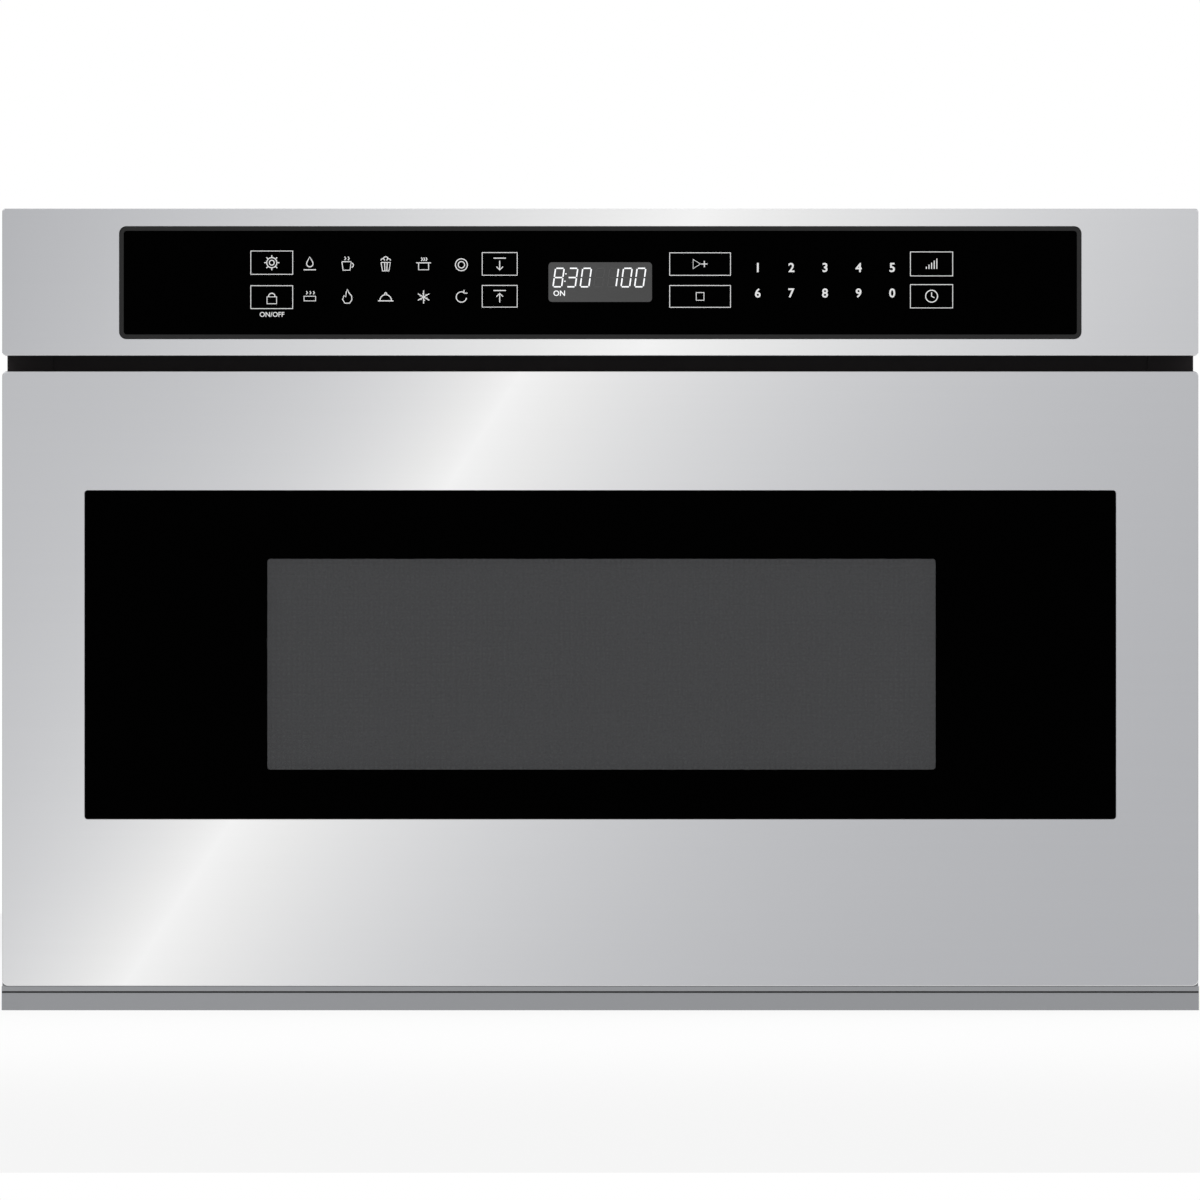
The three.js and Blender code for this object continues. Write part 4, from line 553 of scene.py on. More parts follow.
noShine = {"Specular Tint": (0.005, 0.005, 0.005, 1)}  # printed glass is black where it is seen head-on
plain = {"edge": 0, "bump": 0, "contrast": 0.02, "look": "smooth"}
finishes = {
    "frameBlack": {
        "look": "mottled", "colour": (*[straight(v) for v in (33, 29, 30)], 1), "rough": 0.45,
        "shader": {"Specular IOR Level": 0.15},
    },
    "doorBlack": {"look": "mottled", "colour": grey(38), "rough": 0.42, "worn": 1.6},
    "screenBlack": {"look": "mottled", "colour": grey(96), "rough": 0.5, "edge": 0},
    "zincSheet": {
        "look": "spangled", "colour": grey(164, 3), "rough": 0.5, "metal": 1.0, "contrast": 0.16,
        "spread": 0.2, "bump": 0.03, "depth": 0.05 * mm, "edge": 0.5 * mm,
    },
    "zincPlate": {
        "look": "brushedY", "colour": grey(190, 2), "rough": 0.3, "metal": 1.0, "bump": 0.05,
        "depth": 0.06 * mm, "edge": 0.3 * mm,
    },
    "cavityPaint": {"look": "mottled", "colour": grey(168, 2), "rough": 0.34, "contrast": 0.05},
    "tubPaint": {"look": "mottled", "colour": grey(182, 2), "rough": 0.3, "contrast": 0.05, "edge": 0},
    "coreSteel": {
        "look": "sheetsY", "colour": grey(104, 4), "rough": 0.45, "metal": 1.0, "contrast": 0.5,
        "bump": 0.4, "depth": 0.2 * mm,
    },
    "motorSteel": {
        "look": "sheetsX", "colour": grey(120, 3), "rough": 0.42, "metal": 1.0, "contrast": 0.4,
        "bump": 0.3, "depth": 0.2 * mm,
    },
    "aluminium": {"look": "brushedY", "colour": grey(202, 1), "rough": 0.35, "metal": 1.0},
    "blackPlastic": {"look": "mottled", "colour": grey(34), "rough": 0.5, "bump": 0.15, "worn": 1.5},
    "greyPlastic": {"look": "mottled", "colour": grey(104), "rough": 0.48, "bump": 0.15},
    "darkRim": {
        "look": "mottled", "colour": grey(38), "rough": 0.42, "bump": 0.08, "depth": 0.05 * mm,
        "edge": 0.2 * mm, "shader": {"Specular IOR Level": 0.1},
    },
    "palePlastic": {"look": "mottled", "colour": (0.74, 0.71, 0.63, 1), "rough": 0.42, "bump": 0.08},
    "blackGlass": {**plain, "colour": grey(1), "rough": 0.03, "shader": noShine},
    "clearGlass": {
        **plain, "colour": (0.92, 0.95, 0.94, 1), "rough": 0.03, "shader": {"Transmission Weight": 1.0},
    },
    "windowTint": {**plain, "colour": grey(80, 2), "rough": 0.03, "shader": {"Alpha": 0.6, **noShine}},
    "shelfGlass": {**plain, "colour": (0.80, 0.79, 0.75, 1), "rough": 0.16, "contrast": 0.03},
    "mica": {"look": "mottled", "colour": (0.46, 0.36, 0.22, 1), "rough": 0.5, "contrast": 0.2, "bump": 0.2},
    "solderMask": {"look": "mottled", "colour": (0.02, 0.11, 0.045, 1), "rough": 0.4, "contrast": 0.2},
    "rubber": {"look": "mottled", "colour": grey(30), "rough": 0.7, "bump": 0.2, "worn": 1.0},
    "printWhite": {**plain, "colour": grey(226), "rough": 0.5},
    "screwSteel": {
        "look": "brushedX", "colour": grey(196, 3), "rough": 0.25, "metal": 1.0, "edge": 0.2 * mm,
    },
    "displayGrey": {**plain, "colour": grey(70), "rough": 0.25, "contrast": 0.04},
    "segmentLit": {
        **plain, "colour": grey(236), "rough": 0.4,
        "shader": {"Emission Color": (0.9, 0.95, 1, 1), "Emission Strength": 0.3},
    },
    "segmentDark": {**plain, "colour": grey(62), "rough": 0.4},
}
materials = {name: newFinish(name, **settings) for name, settings in finishes.items()}


def faceOf(node, margin):  # the flat middle of a front, as a box
    low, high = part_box(node)
    return (low.x + margin, low.y - beyond, low.z + margin), (high.x - margin, high.y, high.z - margin)


flatMargin = 4 * mm  # from the outline of a front to its flat middle
# Each front's finish carries a painted highlight band, and painted shade and highlights on its bends.
for highlightName, nodeName in (("drawer", "drawer_front_panel"), ("bezel", "control_bezel")):
    finishName = "stainless" + highlightName.capitalize()
    materials[finishName] = paintedHighlightFinish(finishName, paintedHighlights[highlightName], faceOf(nodeName, flatMargin))
materials["stainlessTrim"] = trimFinish()
print("finishes are mixed")

nodeFinish = {
    "stainlessDrawer": ["drawer_front_panel"],
    "stainlessBezel": ["control_bezel"],
    "stainlessTrim": ["bottom_trim"],
    "frameBlack": ["front_frame"],
    "doorBlack": ["door_frame"],
    "screenBlack": ["window_screen"],
    "zincSheet": [
        "base_pan", "top_cover", "left_side_panel", "right_side_panel", "rear_cover", "waveguide",
        "fan_housing", "lamp_holder", "humidity_sensor",
    ],
    "zincPlate": [
        "rack_bracket", "drive_bracket", "left_rail_bracket", "right_rail_bracket", "stirrer_motor",
        "drive_motor",
        *[f"{hand}_{rail}" for hand in ("left", "right") for rail in (
            "outer_rail", "middle_rail", "inner_rail", "outer_ball_cage", "inner_ball_cage",
        )],
    ],
    "rubber": ["cord_gland"],
    "cavityPaint": ["cavity_shell"],
    "tubPaint": ["drawer_tub"],
    "mica": ["waveguide_cover"],
    "aluminium": ["stirrer_antenna", "magnetron", "hv_capacitor", "rack_guide"],
    "blackPlastic": ["fan_blade", "glass_retainer", "left_door_switch", "right_door_switch"],
    "motorSteel": ["fan_motor"],
    "coreSteel": ["hv_transformer"],
    "palePlastic": ["air_duct", "drive_pinion", "gear_rack", "left_latch_hook", "right_latch_hook"],
    "solderMask": ["noise_filter_board", "control_board"],
    "clearGlass": ["oven_lamp", "inner_window"],
    "blackGlass": ["door_glass", "control_glass"],
    "greyPlastic": ["choke_cover", "display_module"],
    "shelfGlass": ["glass_shelf"],
    "darkRim": ["control_carrier"],
}
for finishName, nodeNames in nodeFinish.items():
    for nodeName in nodeNames:
        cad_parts[nodeName].material_slots[0].material = materials[finishName]

# Nodes that hold more than one material. Each zone has a tone and its spans along X, Y and Z, in
# shares of the node's own box. A span that ends outside 0 to 1 goes right to the surface.
enamel = {"look": "mottled", "metal": 0.0}
tones = {
    "copper": {
        "look": "windings", "metal": 1.0, "colour": (0.62, 0.26, 0.12, 1), "rough": 0.35, "contrast": 0.5,
    },
    "tape": {**enamel, "colour": (0.78, 0.74, 0.60, 1), "rough": 0.6, "contrast": 0.1},
    "nylon": {**enamel, "colour": (0.72, 0.70, 0.63, 1), "rough": 0.45, "contrast": 0.05},
    "black": {**enamel, "colour": grey(34), "rough": 0.5, "contrast": 0.1},
    "tinned": {"look": "brushedY", "metal": 1.0, "colour": grey(205, 2), "rough": 0.25, "contrast": 0.05},
    "ceramic": {**enamel, "colour": grey(222), "rough": 0.4, "contrast": 0.04},
    "zinc": {"look": "spangled", "metal": 1.0, "colour": grey(172, 3), "rough": 0.42, "contrast": 0.12},
}
toneSpread = 0.08
whole = (-0.01, 1.01)
coilSides = [(-0.01, 0.18), (0.82, 1.01)]  # at the front and at the rear
coilHeights = {"copper": (0.26, 0.51), "tape": (0.52, 0.80)}
overBoard = (0.37, 1.01)  # the height of what stands on the noise filter's board
zones = {
    "hv_transformer": [
        (tone, whole, side, height)
        for tone, height in coilHeights.items() for side in coilSides
    ],
    "hv_capacitor": [("black", whole, whole, (0.87, 0.91)), ("tinned", whole, whole, (0.91, 1.01))],
    "fan_motor": [("tape", whole, whole, (0.33, 0.67)), ("tinned", (-0.01, 0.1), whole, whole)],
    "magnetron": [
        ("zinc", whole, whole, (-0.01, 0.255)),
        ("zinc", whole, whole, (0.77, 0.81)),
        ("tinned", (0.35, 0.65), (0.35, 0.65), (0.81, 1.01)),
    ],
    "oven_lamp": [("ceramic", (-0.01, 0.34), whole, whole)],
    "humidity_sensor": [("nylon", (0.35, 1.01), (-0.01, 0.45), whole)],
    "noise_filter_board": [
        ("tinned", whole, whole, (-0.01, 0.27)),
        ("copper", (0.1, 0.45), (0.16, 0.6), overBoard),
        ("black", (0.14, 0.30), (0.7, 0.9), overBoard),
        ("tape", (0.56, 0.82), (0.48, 0.94), overBoard),
        ("ceramic", (0.58, 0.90), (0.13, 0.33), overBoard),
    ],
    "control_board": [
        ("nylon", whole, (0.13, 1.01), (-0.01, 0.3)),
        ("black", whole, (0.13, 1.01), (0.3, 1.01)),
    ],
    "drive_motor": [("nylon", (-0.01, 0.305), whole, whole)],
    "stirrer_motor": [("nylon", whole, (-0.01, 0.18), whole)],
}


def zoneFinish(node, parts):
    low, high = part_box(node)
    size = high - low
    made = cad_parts[node].material_slots[0].material.copy()
    made.name = "".join(word.capitalize() for word in node.split("_"))
    tree = made.node_tree
    body = tree.nodes["Principled BSDF"]
    colour = body.inputs["Base Color"].links[0].from_socket
    rough = body.inputs["Roughness"].links[0].from_socket
    metal = body.inputs["Metallic"].default_value
    for tone, *spans in parts:
        lowShares, highShares = zip(*spans)
        inside = useLook(
            tree, "box", Low=low + size * Vector(lowShares), High=low + size * Vector(highShares),
        ).outputs["Inside"]
        shown = tones[tone]
        pattern = useLook(
            tree, shown["look"], Colour=shown["colour"], Contrast=shown["contrast"],
            Roughness=shown["rough"], Spread=toneSpread,
        )
        colour = mixed(tree, "RGBA", inside, colour, pattern.outputs["Colour"])
        rough = mixed(tree, "FLOAT", inside, rough, pattern.outputs["Roughness"])
        metal = mixed(tree, "FLOAT", inside, metal, shown["metal"])
    connect(tree, colour, body.inputs["Base Color"])
    connect(tree, rough, body.inputs["Roughness"])
    connect(tree, metal, body.inputs["Metallic"])
    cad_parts[node].material_slots[0].material = made


for nodeName, nodeZones in zones.items():
    zoneFinish(nodeName, nodeZones)
print("finishes are on the frame's nodes")


def outwards(spans, by):  # both ranges of a rectangle, made larger on each side
    return tuple((a - by, b + by) for a, b in spans)


def facing(node):  # the outline of a node seen from the front
    low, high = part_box(node)
    return (low.x, high.x), (low.z, high.z)


tiny = 0.05 * mm
weld = 1e-7  # corners nearer than this are one


def along(axis, distance):
    return (0, distance, 0) if axis == "Y" else (0, 0, distance)


def unitGrid(bm, columns=1, rows=1):  # a square of one by one about the origin
    return bmesh.ops.create_grid(bm, x_segments=columns, y_segments=rows, size=0.5)["verts"]


def standUp(bm, verts):  # from a plane of X and Y to one of X and Z
    bmesh.ops.rotate(bm, cent=(0, 0, 0), matrix=Matrix.Rotation(pi / 2, 3, "X"), verts=verts)


def vertsIn(parts):
    return [part for part in parts if isinstance(part, bmesh.types.BMVert)]


def facesIn(parts):
    return [part for part in parts if isinstance(part, bmesh.types.BMFace)]


def ringAt(bm, axis, spans, level, corner, steps=6):  # the edges of a rectangle with round corners
    (a0, a1), (b0, b1) = spans
    square = unitGrid(bm)
    bmesh.ops.scale(bm, vec=(a1 - a0, b1 - b0, 1), verts=square)
    bmesh.ops.translate(bm, vec=((a0 + a1) / 2, (b0 + b1) / 2, 0), verts=square)
    near, far = corner if isinstance(corner, tuple) else (corner, corner)
    middle = (b0 + b1) / 2
    for radius, ends in (
        (near, [v for v in square if v.co.y < middle]),
        (far, [v for v in square if v.co.y > middle]),
    ):
        rounded = bmesh.ops.bevel(
            bm, geom=ends, offset=max(radius, tiny), segments=steps, profile=0.5,
            affect="VERTICES", material=-1,
        )
    face = rounded["verts"][0].link_faces[0]
    verts = list(face.verts)
    if axis == "Y":
        standUp(bm, verts)
    bmesh.ops.translate(bm, vec=along(axis, level), verts=verts)
    edges = list(face.edges)
    bmesh.ops.delete(bm, geom=[face], context="FACES_ONLY")
    return edges


def shift(bm, edges, vec):
    bmesh.ops.translate(bm, vec=vec, verts=list({v for e in edges for v in e.verts}))


# Rings are bridged while they lie well apart, because two rings in one plane may bridge twisted.
apart = 0.1


def loft(bm, axis, rings, closed=False):  # a skin from ring to ring, capped or closed on itself
    edges = [ringAt(bm, axis, spans, apart * i, *rest) for i, (spans, level, *rest) in enumerate(rings)]
    pairs = list(zip(edges, edges[1:]))
    if closed:
        pairs.append((edges[-1], edges[0]))
    for near, far in pairs:
        bmesh.ops.bridge_loops(bm, edges=near + far)
    levels = [level for _, level, *_ in rings]
    for i, (around, level) in enumerate(zip(edges, levels)):
        shift(bm, around, along(axis, level - apart * i))
    if closed:
        return []
    return [bmesh.ops.contextual_create(bm, geom=ends)["faces"][0] for ends in (edges[0], edges[-1])]


def plateRings(spans, low, high, corner, arris):  # a plate with its edges taken off
    return [
        (outwards(spans, -arris), low, corner - arris),
        (spans, low + arris, corner),
        (spans, high - arris, corner),
        (outwards(spans, -arris), high, corner - arris),
    ]


def addPiece(name, bm, finish, body, smooth=40, flatten=False):
    bmesh.ops.remove_doubles(bm, verts=bm.verts, dist=weld)
    bmesh.ops.recalc_face_normals(bm, faces=bm.faces)
    mesh = bpy.data.meshes.new(name)
    bm.to_mesh(mesh)
    bm.free()
    piece = bpy.data.objects.new(name, mesh)
    scene.collection.objects.link(piece)
    for each in finish if isinstance(finish, list) else [finish]:
        mesh.materials.append(materials[each])
    mesh.shade_smooth()
    mesh.set_sharp_from_angle(angle=radians(smooth))
    if flatten:  # keeps the large flat faces flat beside their bends
        weighted = piece.modifiers.new("flatFaces", "WEIGHTED_NORMAL")
        weighted.keep_sharp = True
    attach(piece, body)
    return piece


# The two fronts are folded from sheet: a face with an opening, a bend all round, and a lip behind.
folded = {
    "sheet": 1.2 * mm,
    "bend": 0.5 * mm,
    "bendSteps": 5,
    "lip": 12 * mm,
    "fit": 0.05 * mm,  # opening to what fills it
    "arris": 0.2 * mm,
    "mouthCorner": 1.0 * mm,  # of the opening that the lip leaves at the back
    # how much lower each front's folds end than the solids, and its low and high corners
    "drawer": {"foot": 0.35 * mm, "corners": (3.0 * mm, 2.3 * mm)},
    "bezel": {"foot": 0.15 * mm, "corners": (1.6 * mm, 1.6 * mm)},
}


def tighter(corners, inset):  # the radii of an outline that lies further in
    return tuple(corner - inset for corner in corners)


def bendRings(outline, level, corners, radius):  # from a flat face round to its sides
    steps = folded["bendSteps"]
    rings = []
    for i in range(steps + 1):
        turn = pi / 2 * i / steps
        inset = radius * (1 - sin(turn))
        across = outwards(outline, -inset)
        rings.append((across, level + radius * (1 - cos(turn)), tighter(corners, inset)))
    return rings


def makeFront(name, node, filling, corner, fold, finish, body):
    low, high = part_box(node)
    (left, right), (bottom, top) = facing(node)
    outline = (left, right), (bottom - fold["foot"], top)
    corners = fold["corners"]
    opening = outwards(filling, folded["fit"])
    front, back, sheet, arris = low.y, high.y, folded["sheet"], folded["arris"]
    mouth = outwards(outline, -sheet - folded["lip"])
    inside = outwards(outline, -sheet)
    bm = bmesh.new()
    loft(bm, "Y", [
        (opening, front + sheet, corner),
        (opening, front + arris, corner),
        (outwards(opening, arris), front, corner + arris),
        *bendRings(outline, front, corners, folded["bend"]),
        (outline, back, corners),
        (mouth, back, folded["mouthCorner"]),
        (mouth, back - sheet, folded["mouthCorner"]),
        (inside, back - sheet, tighter(corners, sheet)),
        (inside, front + sheet, tighter(corners, sheet)),
    ], closed=True)
    piece = addPiece(name, bm, finish, body, flatten=True)
    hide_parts(node)


panelRim = {"corner": 3.5 * mm, "width": 2.4 * mm}  # from the control glass to the outside of its rim
glassCorner = 1.5 * mm
makeFront(
    "drawer_front_shell", "drawer_front_panel", facing("door_glass"), glassCorner,
    folded["drawer"], "stainlessDrawer", "drawer",
)
makeFront(
    "control_bezel_shell", "control_bezel", outwards(facing("control_glass"), panelRim["width"]),
    panelRim["corner"], folded["bezel"], "stainlessBezel", "cabinet",
)
print("stainless fronts are folded")


# The door glass is one pane, printed black but for its window.
doorGlass = {"arris": 0.15 * mm, "windowCorner": 1.5 * mm, "windowInset": 7 * mm, "windowShift": 0.6 * mm}


def makeDoorGlass():
    low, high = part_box("door_glass")
    (left, right), upright = outwards(facing("inner_window"), -doorGlass["windowInset"])
    windowSpans = (left + doorGlass["windowShift"], right + doorGlass["windowShift"]), upright
    bm = bmesh.new()
    windows = loft(bm, "Y", [
        (windowSpans, low.y, doorGlass["windowCorner"]),
        *plateRings(facing("door_glass"), low.y, high.y, glassCorner, doorGlass["arris"]),
        (windowSpans, high.y, doorGlass["windowCorner"]),
    ])
    for face in windows:
        face.material_index = 1
    printedAndClear = ["blackGlass", "windowTint"]
    piece = addPiece("printed_door_glass", bm, printedAndClear, "drawer", flatten=True)
    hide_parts("door_glass")


makeDoorGlass()
print("door glass is made")


# The window screen: a thin sheet with rows of square holes, in a plain border.
screen = {"pitch": 2.6 * mm, "rib": 0.55 * mm, "border": 9 * mm}  # rib is half a bar between holes


def makeScreen():
    low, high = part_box("window_screen")
    width, height = high.x - low.x, high.z - low.z
    holesWide, holesHigh = width - 2 * screen["border"], height - 2 * screen["border"]
    columns = round(holesWide / screen["pitch"])
    rows = round(holesHigh / screen["pitch"])
    bm = bmesh.new()
    made = unitGrid(bm, columns, rows)
    bmesh.ops.scale(bm, vec=(holesWide, holesHigh, 1), verts=made)
    rim = [e for e in bm.edges if e.is_boundary]
    ribs = set(bmesh.ops.inset_individual(
        bm, faces=list(bm.faces), thickness=screen["rib"], use_even_offset=True,
    )["faces"])
    bmesh.ops.delete(bm, geom=[f for f in bm.faces if f not in ribs], context="FACES")
    outer = vertsIn(bmesh.ops.extrude_edge_only(bm, edges=rim)["geom"])
    bmesh.ops.scale(bm, vec=(width / holesWide, height / holesHigh, 1), verts=outer)
    standUp(bm, bm.verts)
    bmesh.ops.translate(bm, vec=(0, low.y, (low.z + high.z) / 2), verts=bm.verts)
    back = vertsIn(bmesh.ops.extrude_face_region(bm, geom=list(bm.faces))["geom"])
    bmesh.ops.translate(bm, vec=(0, high.y - low.y, 0), verts=back)
    piece = addPiece("perforated_screen", bm, "screenBlack", "drawer")
    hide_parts("window_screen")


makeScreen()
print("window screen is punched")


# The cooking tub: one drawn shell with round corners and a ledge for the shelf, and a rolled rim.
tub = {
    "sheet": 1.2 * mm,
    "corner": 14 * mm,
    "foot": 4 * mm,  # radius under the walls
    "footSteps": 3,
    "rim": 5 * mm,
    "rimHeight": 2.4 * mm,
    "rimRound": 1.0 * mm,
    "rimSteps": 4,
    "ledge": 10 * mm,
    "ledgeHeight": 3.3 * mm,
    "lip": 0.4 * mm,  # rounding of the walls' upper edge
    "frontCorner": 0.3 * mm,
    "windowCorner": 3 * mm,
    "fit": 0.3 * mm,  # round the window
    "steps": 8,
    "upright": 0.99,  # the least share of a wall's normal that has to lie along Y
}


def frontWall(bm, level):  # the widest face that stands on a plane of equal Y
    upright = [f for f in bm.faces if abs(f.normal.y) > tub["upright"]]
    flat = [f for f in upright if abs(f.calc_center_median().y - level) < tiny]
    return max(flat, key=lambda face: face.calc_area())


def makeTub():
    low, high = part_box("drawer_tub")
    sheet, rim, foot, lip = tub["sheet"], tub["rim"], tub["foot"], tub["lip"]
    outline = (low.x + rim, high.x - rim), (low.y, high.y - rim)
    inside = outwards(outline, -sheet)
    well = outwards(inside, -tub["ledge"])
    corners = tub["frontCorner"], tub["corner"]
    inner = tub["corner"] - sheet
    rings = []
    for i in range(tub["footSteps"] + 1):
        turn = pi / 2 * i / tub["footSteps"]
        inset = foot * (1 - sin(turn))
        radii = (corners[0], corners[1] - inset)
        rings.append((outwards(outline, -inset), low.z + foot * (1 - cos(turn)), radii))
    rings += [
        (outline, high.z - lip, corners),
        (outwards(outline, -lip), high.z, (corners[0], corners[1] - lip)),
        (outwards(inside, lip / 2), high.z, inner),
        (inside, high.z - lip, inner),
        (inside, low.z + sheet + tub["ledgeHeight"], inner),
        (well, low.z + sheet + tub["ledgeHeight"], tub["corner"]),
        (well, low.z + sheet, tub["corner"]),
    ]
    bm = bmesh.new()
    loft(bm, "Z", [(*each, tub["steps"]) for each in rings])
    bmesh.ops.recalc_face_normals(bm, faces=bm.faces)
    opening = outwards(facing("inner_window"), tub["fit"])
    openings = []
    for level in (low.y, low.y + sheet):
        wall = frontWall(bm, level)
        around = list(wall.edges)
        bmesh.ops.delete(bm, geom=[wall], context="FACES_ONLY")
        openings.append(ringAt(bm, "Y", opening, level - apart, tub["windowCorner"]))
        bmesh.ops.bridge_loops(bm, edges=around + openings[-1])
        shift(bm, openings[-1], (0, apart, 0))
    bmesh.ops.bridge_loops(bm, edges=openings[0] + openings[1])
    piece = addPiece("tub_shell", bm, "tubPaint", "drawer", flatten=True)
    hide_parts("drawer_tub")


def makeTubRim():  # a bar of the rim's section, run round the sides and the back of the tub
    low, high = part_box("drawer_tub")
    rim, height, corner = tub["rim"], tub["rimHeight"], tub["corner"]
    bm = bmesh.new()
    section = unitGrid(bm)
    bmesh.ops.scale(bm, vec=(rim, height, 1), verts=section)
    standUp(bm, section)
    start = (low.x + rim / 2, low.y + rim, high.z - height / 2)
    bmesh.ops.translate(bm, vec=start, verts=section)
    outer = [v for v in section if v.co.x < start[0]]
    bmesh.ops.bevel(
        bm, geom=outer, offset=tub["rimRound"], segments=tub["rimSteps"], profile=0.5,
        affect="VERTICES", material=-1,
    )
    end = list(bm.faces)

    def onwards(vec):  # draws the last section out in a straight line
        grown = bmesh.ops.extrude_face_region(bm, geom=end)["geom"]
        bmesh.ops.translate(bm, vec=vec, verts=vertsIn(grown))
        end[:] = facesIn(grown)

    def quarterTurn(centre):  # and round a corner's centre
        turned = bmesh.ops.spin(
            bm, geom=end, cent=centre, axis=(0, 0, 1), dvec=(0, 0, 0), angle=-pi / 2, steps=tub["steps"],
            use_duplicate=False,
        )["geom_last"]
        end[:] = facesIn(turned)

    reach = corner + rim
    onwards((0, high.y - reach - low.y - rim, 0))
    quarterTurn((low.x + reach, high.y - reach, high.z))
    onwards((high.x - low.x - 2 * reach, 0, 0))
    quarterTurn((high.x - reach, high.y - reach, high.z))
    onwards((0, low.y + rim + reach - high.y, 0))
    addPiece("tub_rim", bm, "tubPaint", "drawer", flatten=True)


makeTub()
makeTubRim()
print("tub is drawn")


shelf = {"corner": 11 * mm, "arris": 1.2 * mm}


def makeShelf():
    low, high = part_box("glass_shelf")
    bm = bmesh.new()
    spans = (low.x, high.x), (low.y, high.y)
    loft(bm, "Z", plateRings(spans, low.z, high.z, shelf["corner"], shelf["arris"]))
    piece = addPiece("shelf_plate", bm, "shelfGlass", "drawer", flatten=True)
    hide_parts("glass_shelf")


makeShelf()
print("shelf is made")


# The control panel: a glass in its rim, with printed keys.
panel = {
    "line": 0.25 * mm,  # half the width of a printed line
    "film": 0.06 * mm,  # how far the print stands off the glass
    "iconSize": 3.9 * mm,
    "digitHeight": 4.7 * mm,
    "digitBold": 0.02,
    "wordHeight": 2.5 * mm,
    "wordBold": 0.01,
    "wordDepth": 0.1,  # of a word as it is typed, before it is pressed to the film's depth
    "wordSteps": 3,
    "glassCorner": 1.4 * mm,
    "arris": 0.15 * mm,
}
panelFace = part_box("control_glass")[0].y


def makeControlGlass():
    low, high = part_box("control_glass")
    bm = bmesh.new()
    loft(bm, "Y", plateRings(facing("control_glass"), low.y, high.y, panel["glassCorner"], panel["arris"]))
    piece = addPiece("control_glass_plate", bm, "blackGlass", "cabinet", flatten=True)
    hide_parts("control_glass")


makeControlGlass()

pixel = 0.50643 * mm
middleX, bottomY = 600.3, 1010.3  # where the middle plane and the floor lie in the photograph


def onPanel(x, y):  # a place in the photograph as X and Z
    return (x - middleX) * pixel, (bottomY - y) * pixel


def ring(cx, cy, radius, start=0, end=360, steps=14):
    closed = end - start == 360
    count = steps if closed else steps + 1
    angles = [radians(start + (end - start) * i / steps) for i in range(count)]
    return [(cx + radius * cos(a), cy + radius * sin(a)) for a in angles], closed


def line(*points):
    return list(points), False


def loop(*points):
    return list(points), True


def rays(count, inner, outer, turn=0.0):
    angles = [2 * pi * i / count + turn for i in range(count)]
    return [line((inner * cos(a), inner * sin(a)), (outer * cos(a), outer * sin(a))) for a in angles]


def drop(cx, cy, size, tip=2.1):  # its tip stands so many times its size above its middle
    bulb, _ = ring(cx, cy, size, -210, 30, 9)
    return [(bulb + [(cx, cy + tip * size)], True)]


def steam(places, low, high, sway=0.15):
    middle = (low + high) / 2
    return [line((x, low), (x + sway, middle), (x, high)) for x in places]


def twigs(count, reach, size, turn, lean=0.6):  # the side branches of a frost star
    made = []
    for i in range(count):
        a = turn + 2 * pi * i / count
        tip = (reach * cos(a), reach * sin(a))
        made.append(line((tip[0] - size * sin(a + lean), tip[1] + size * cos(a + lean)), tip))
    return made


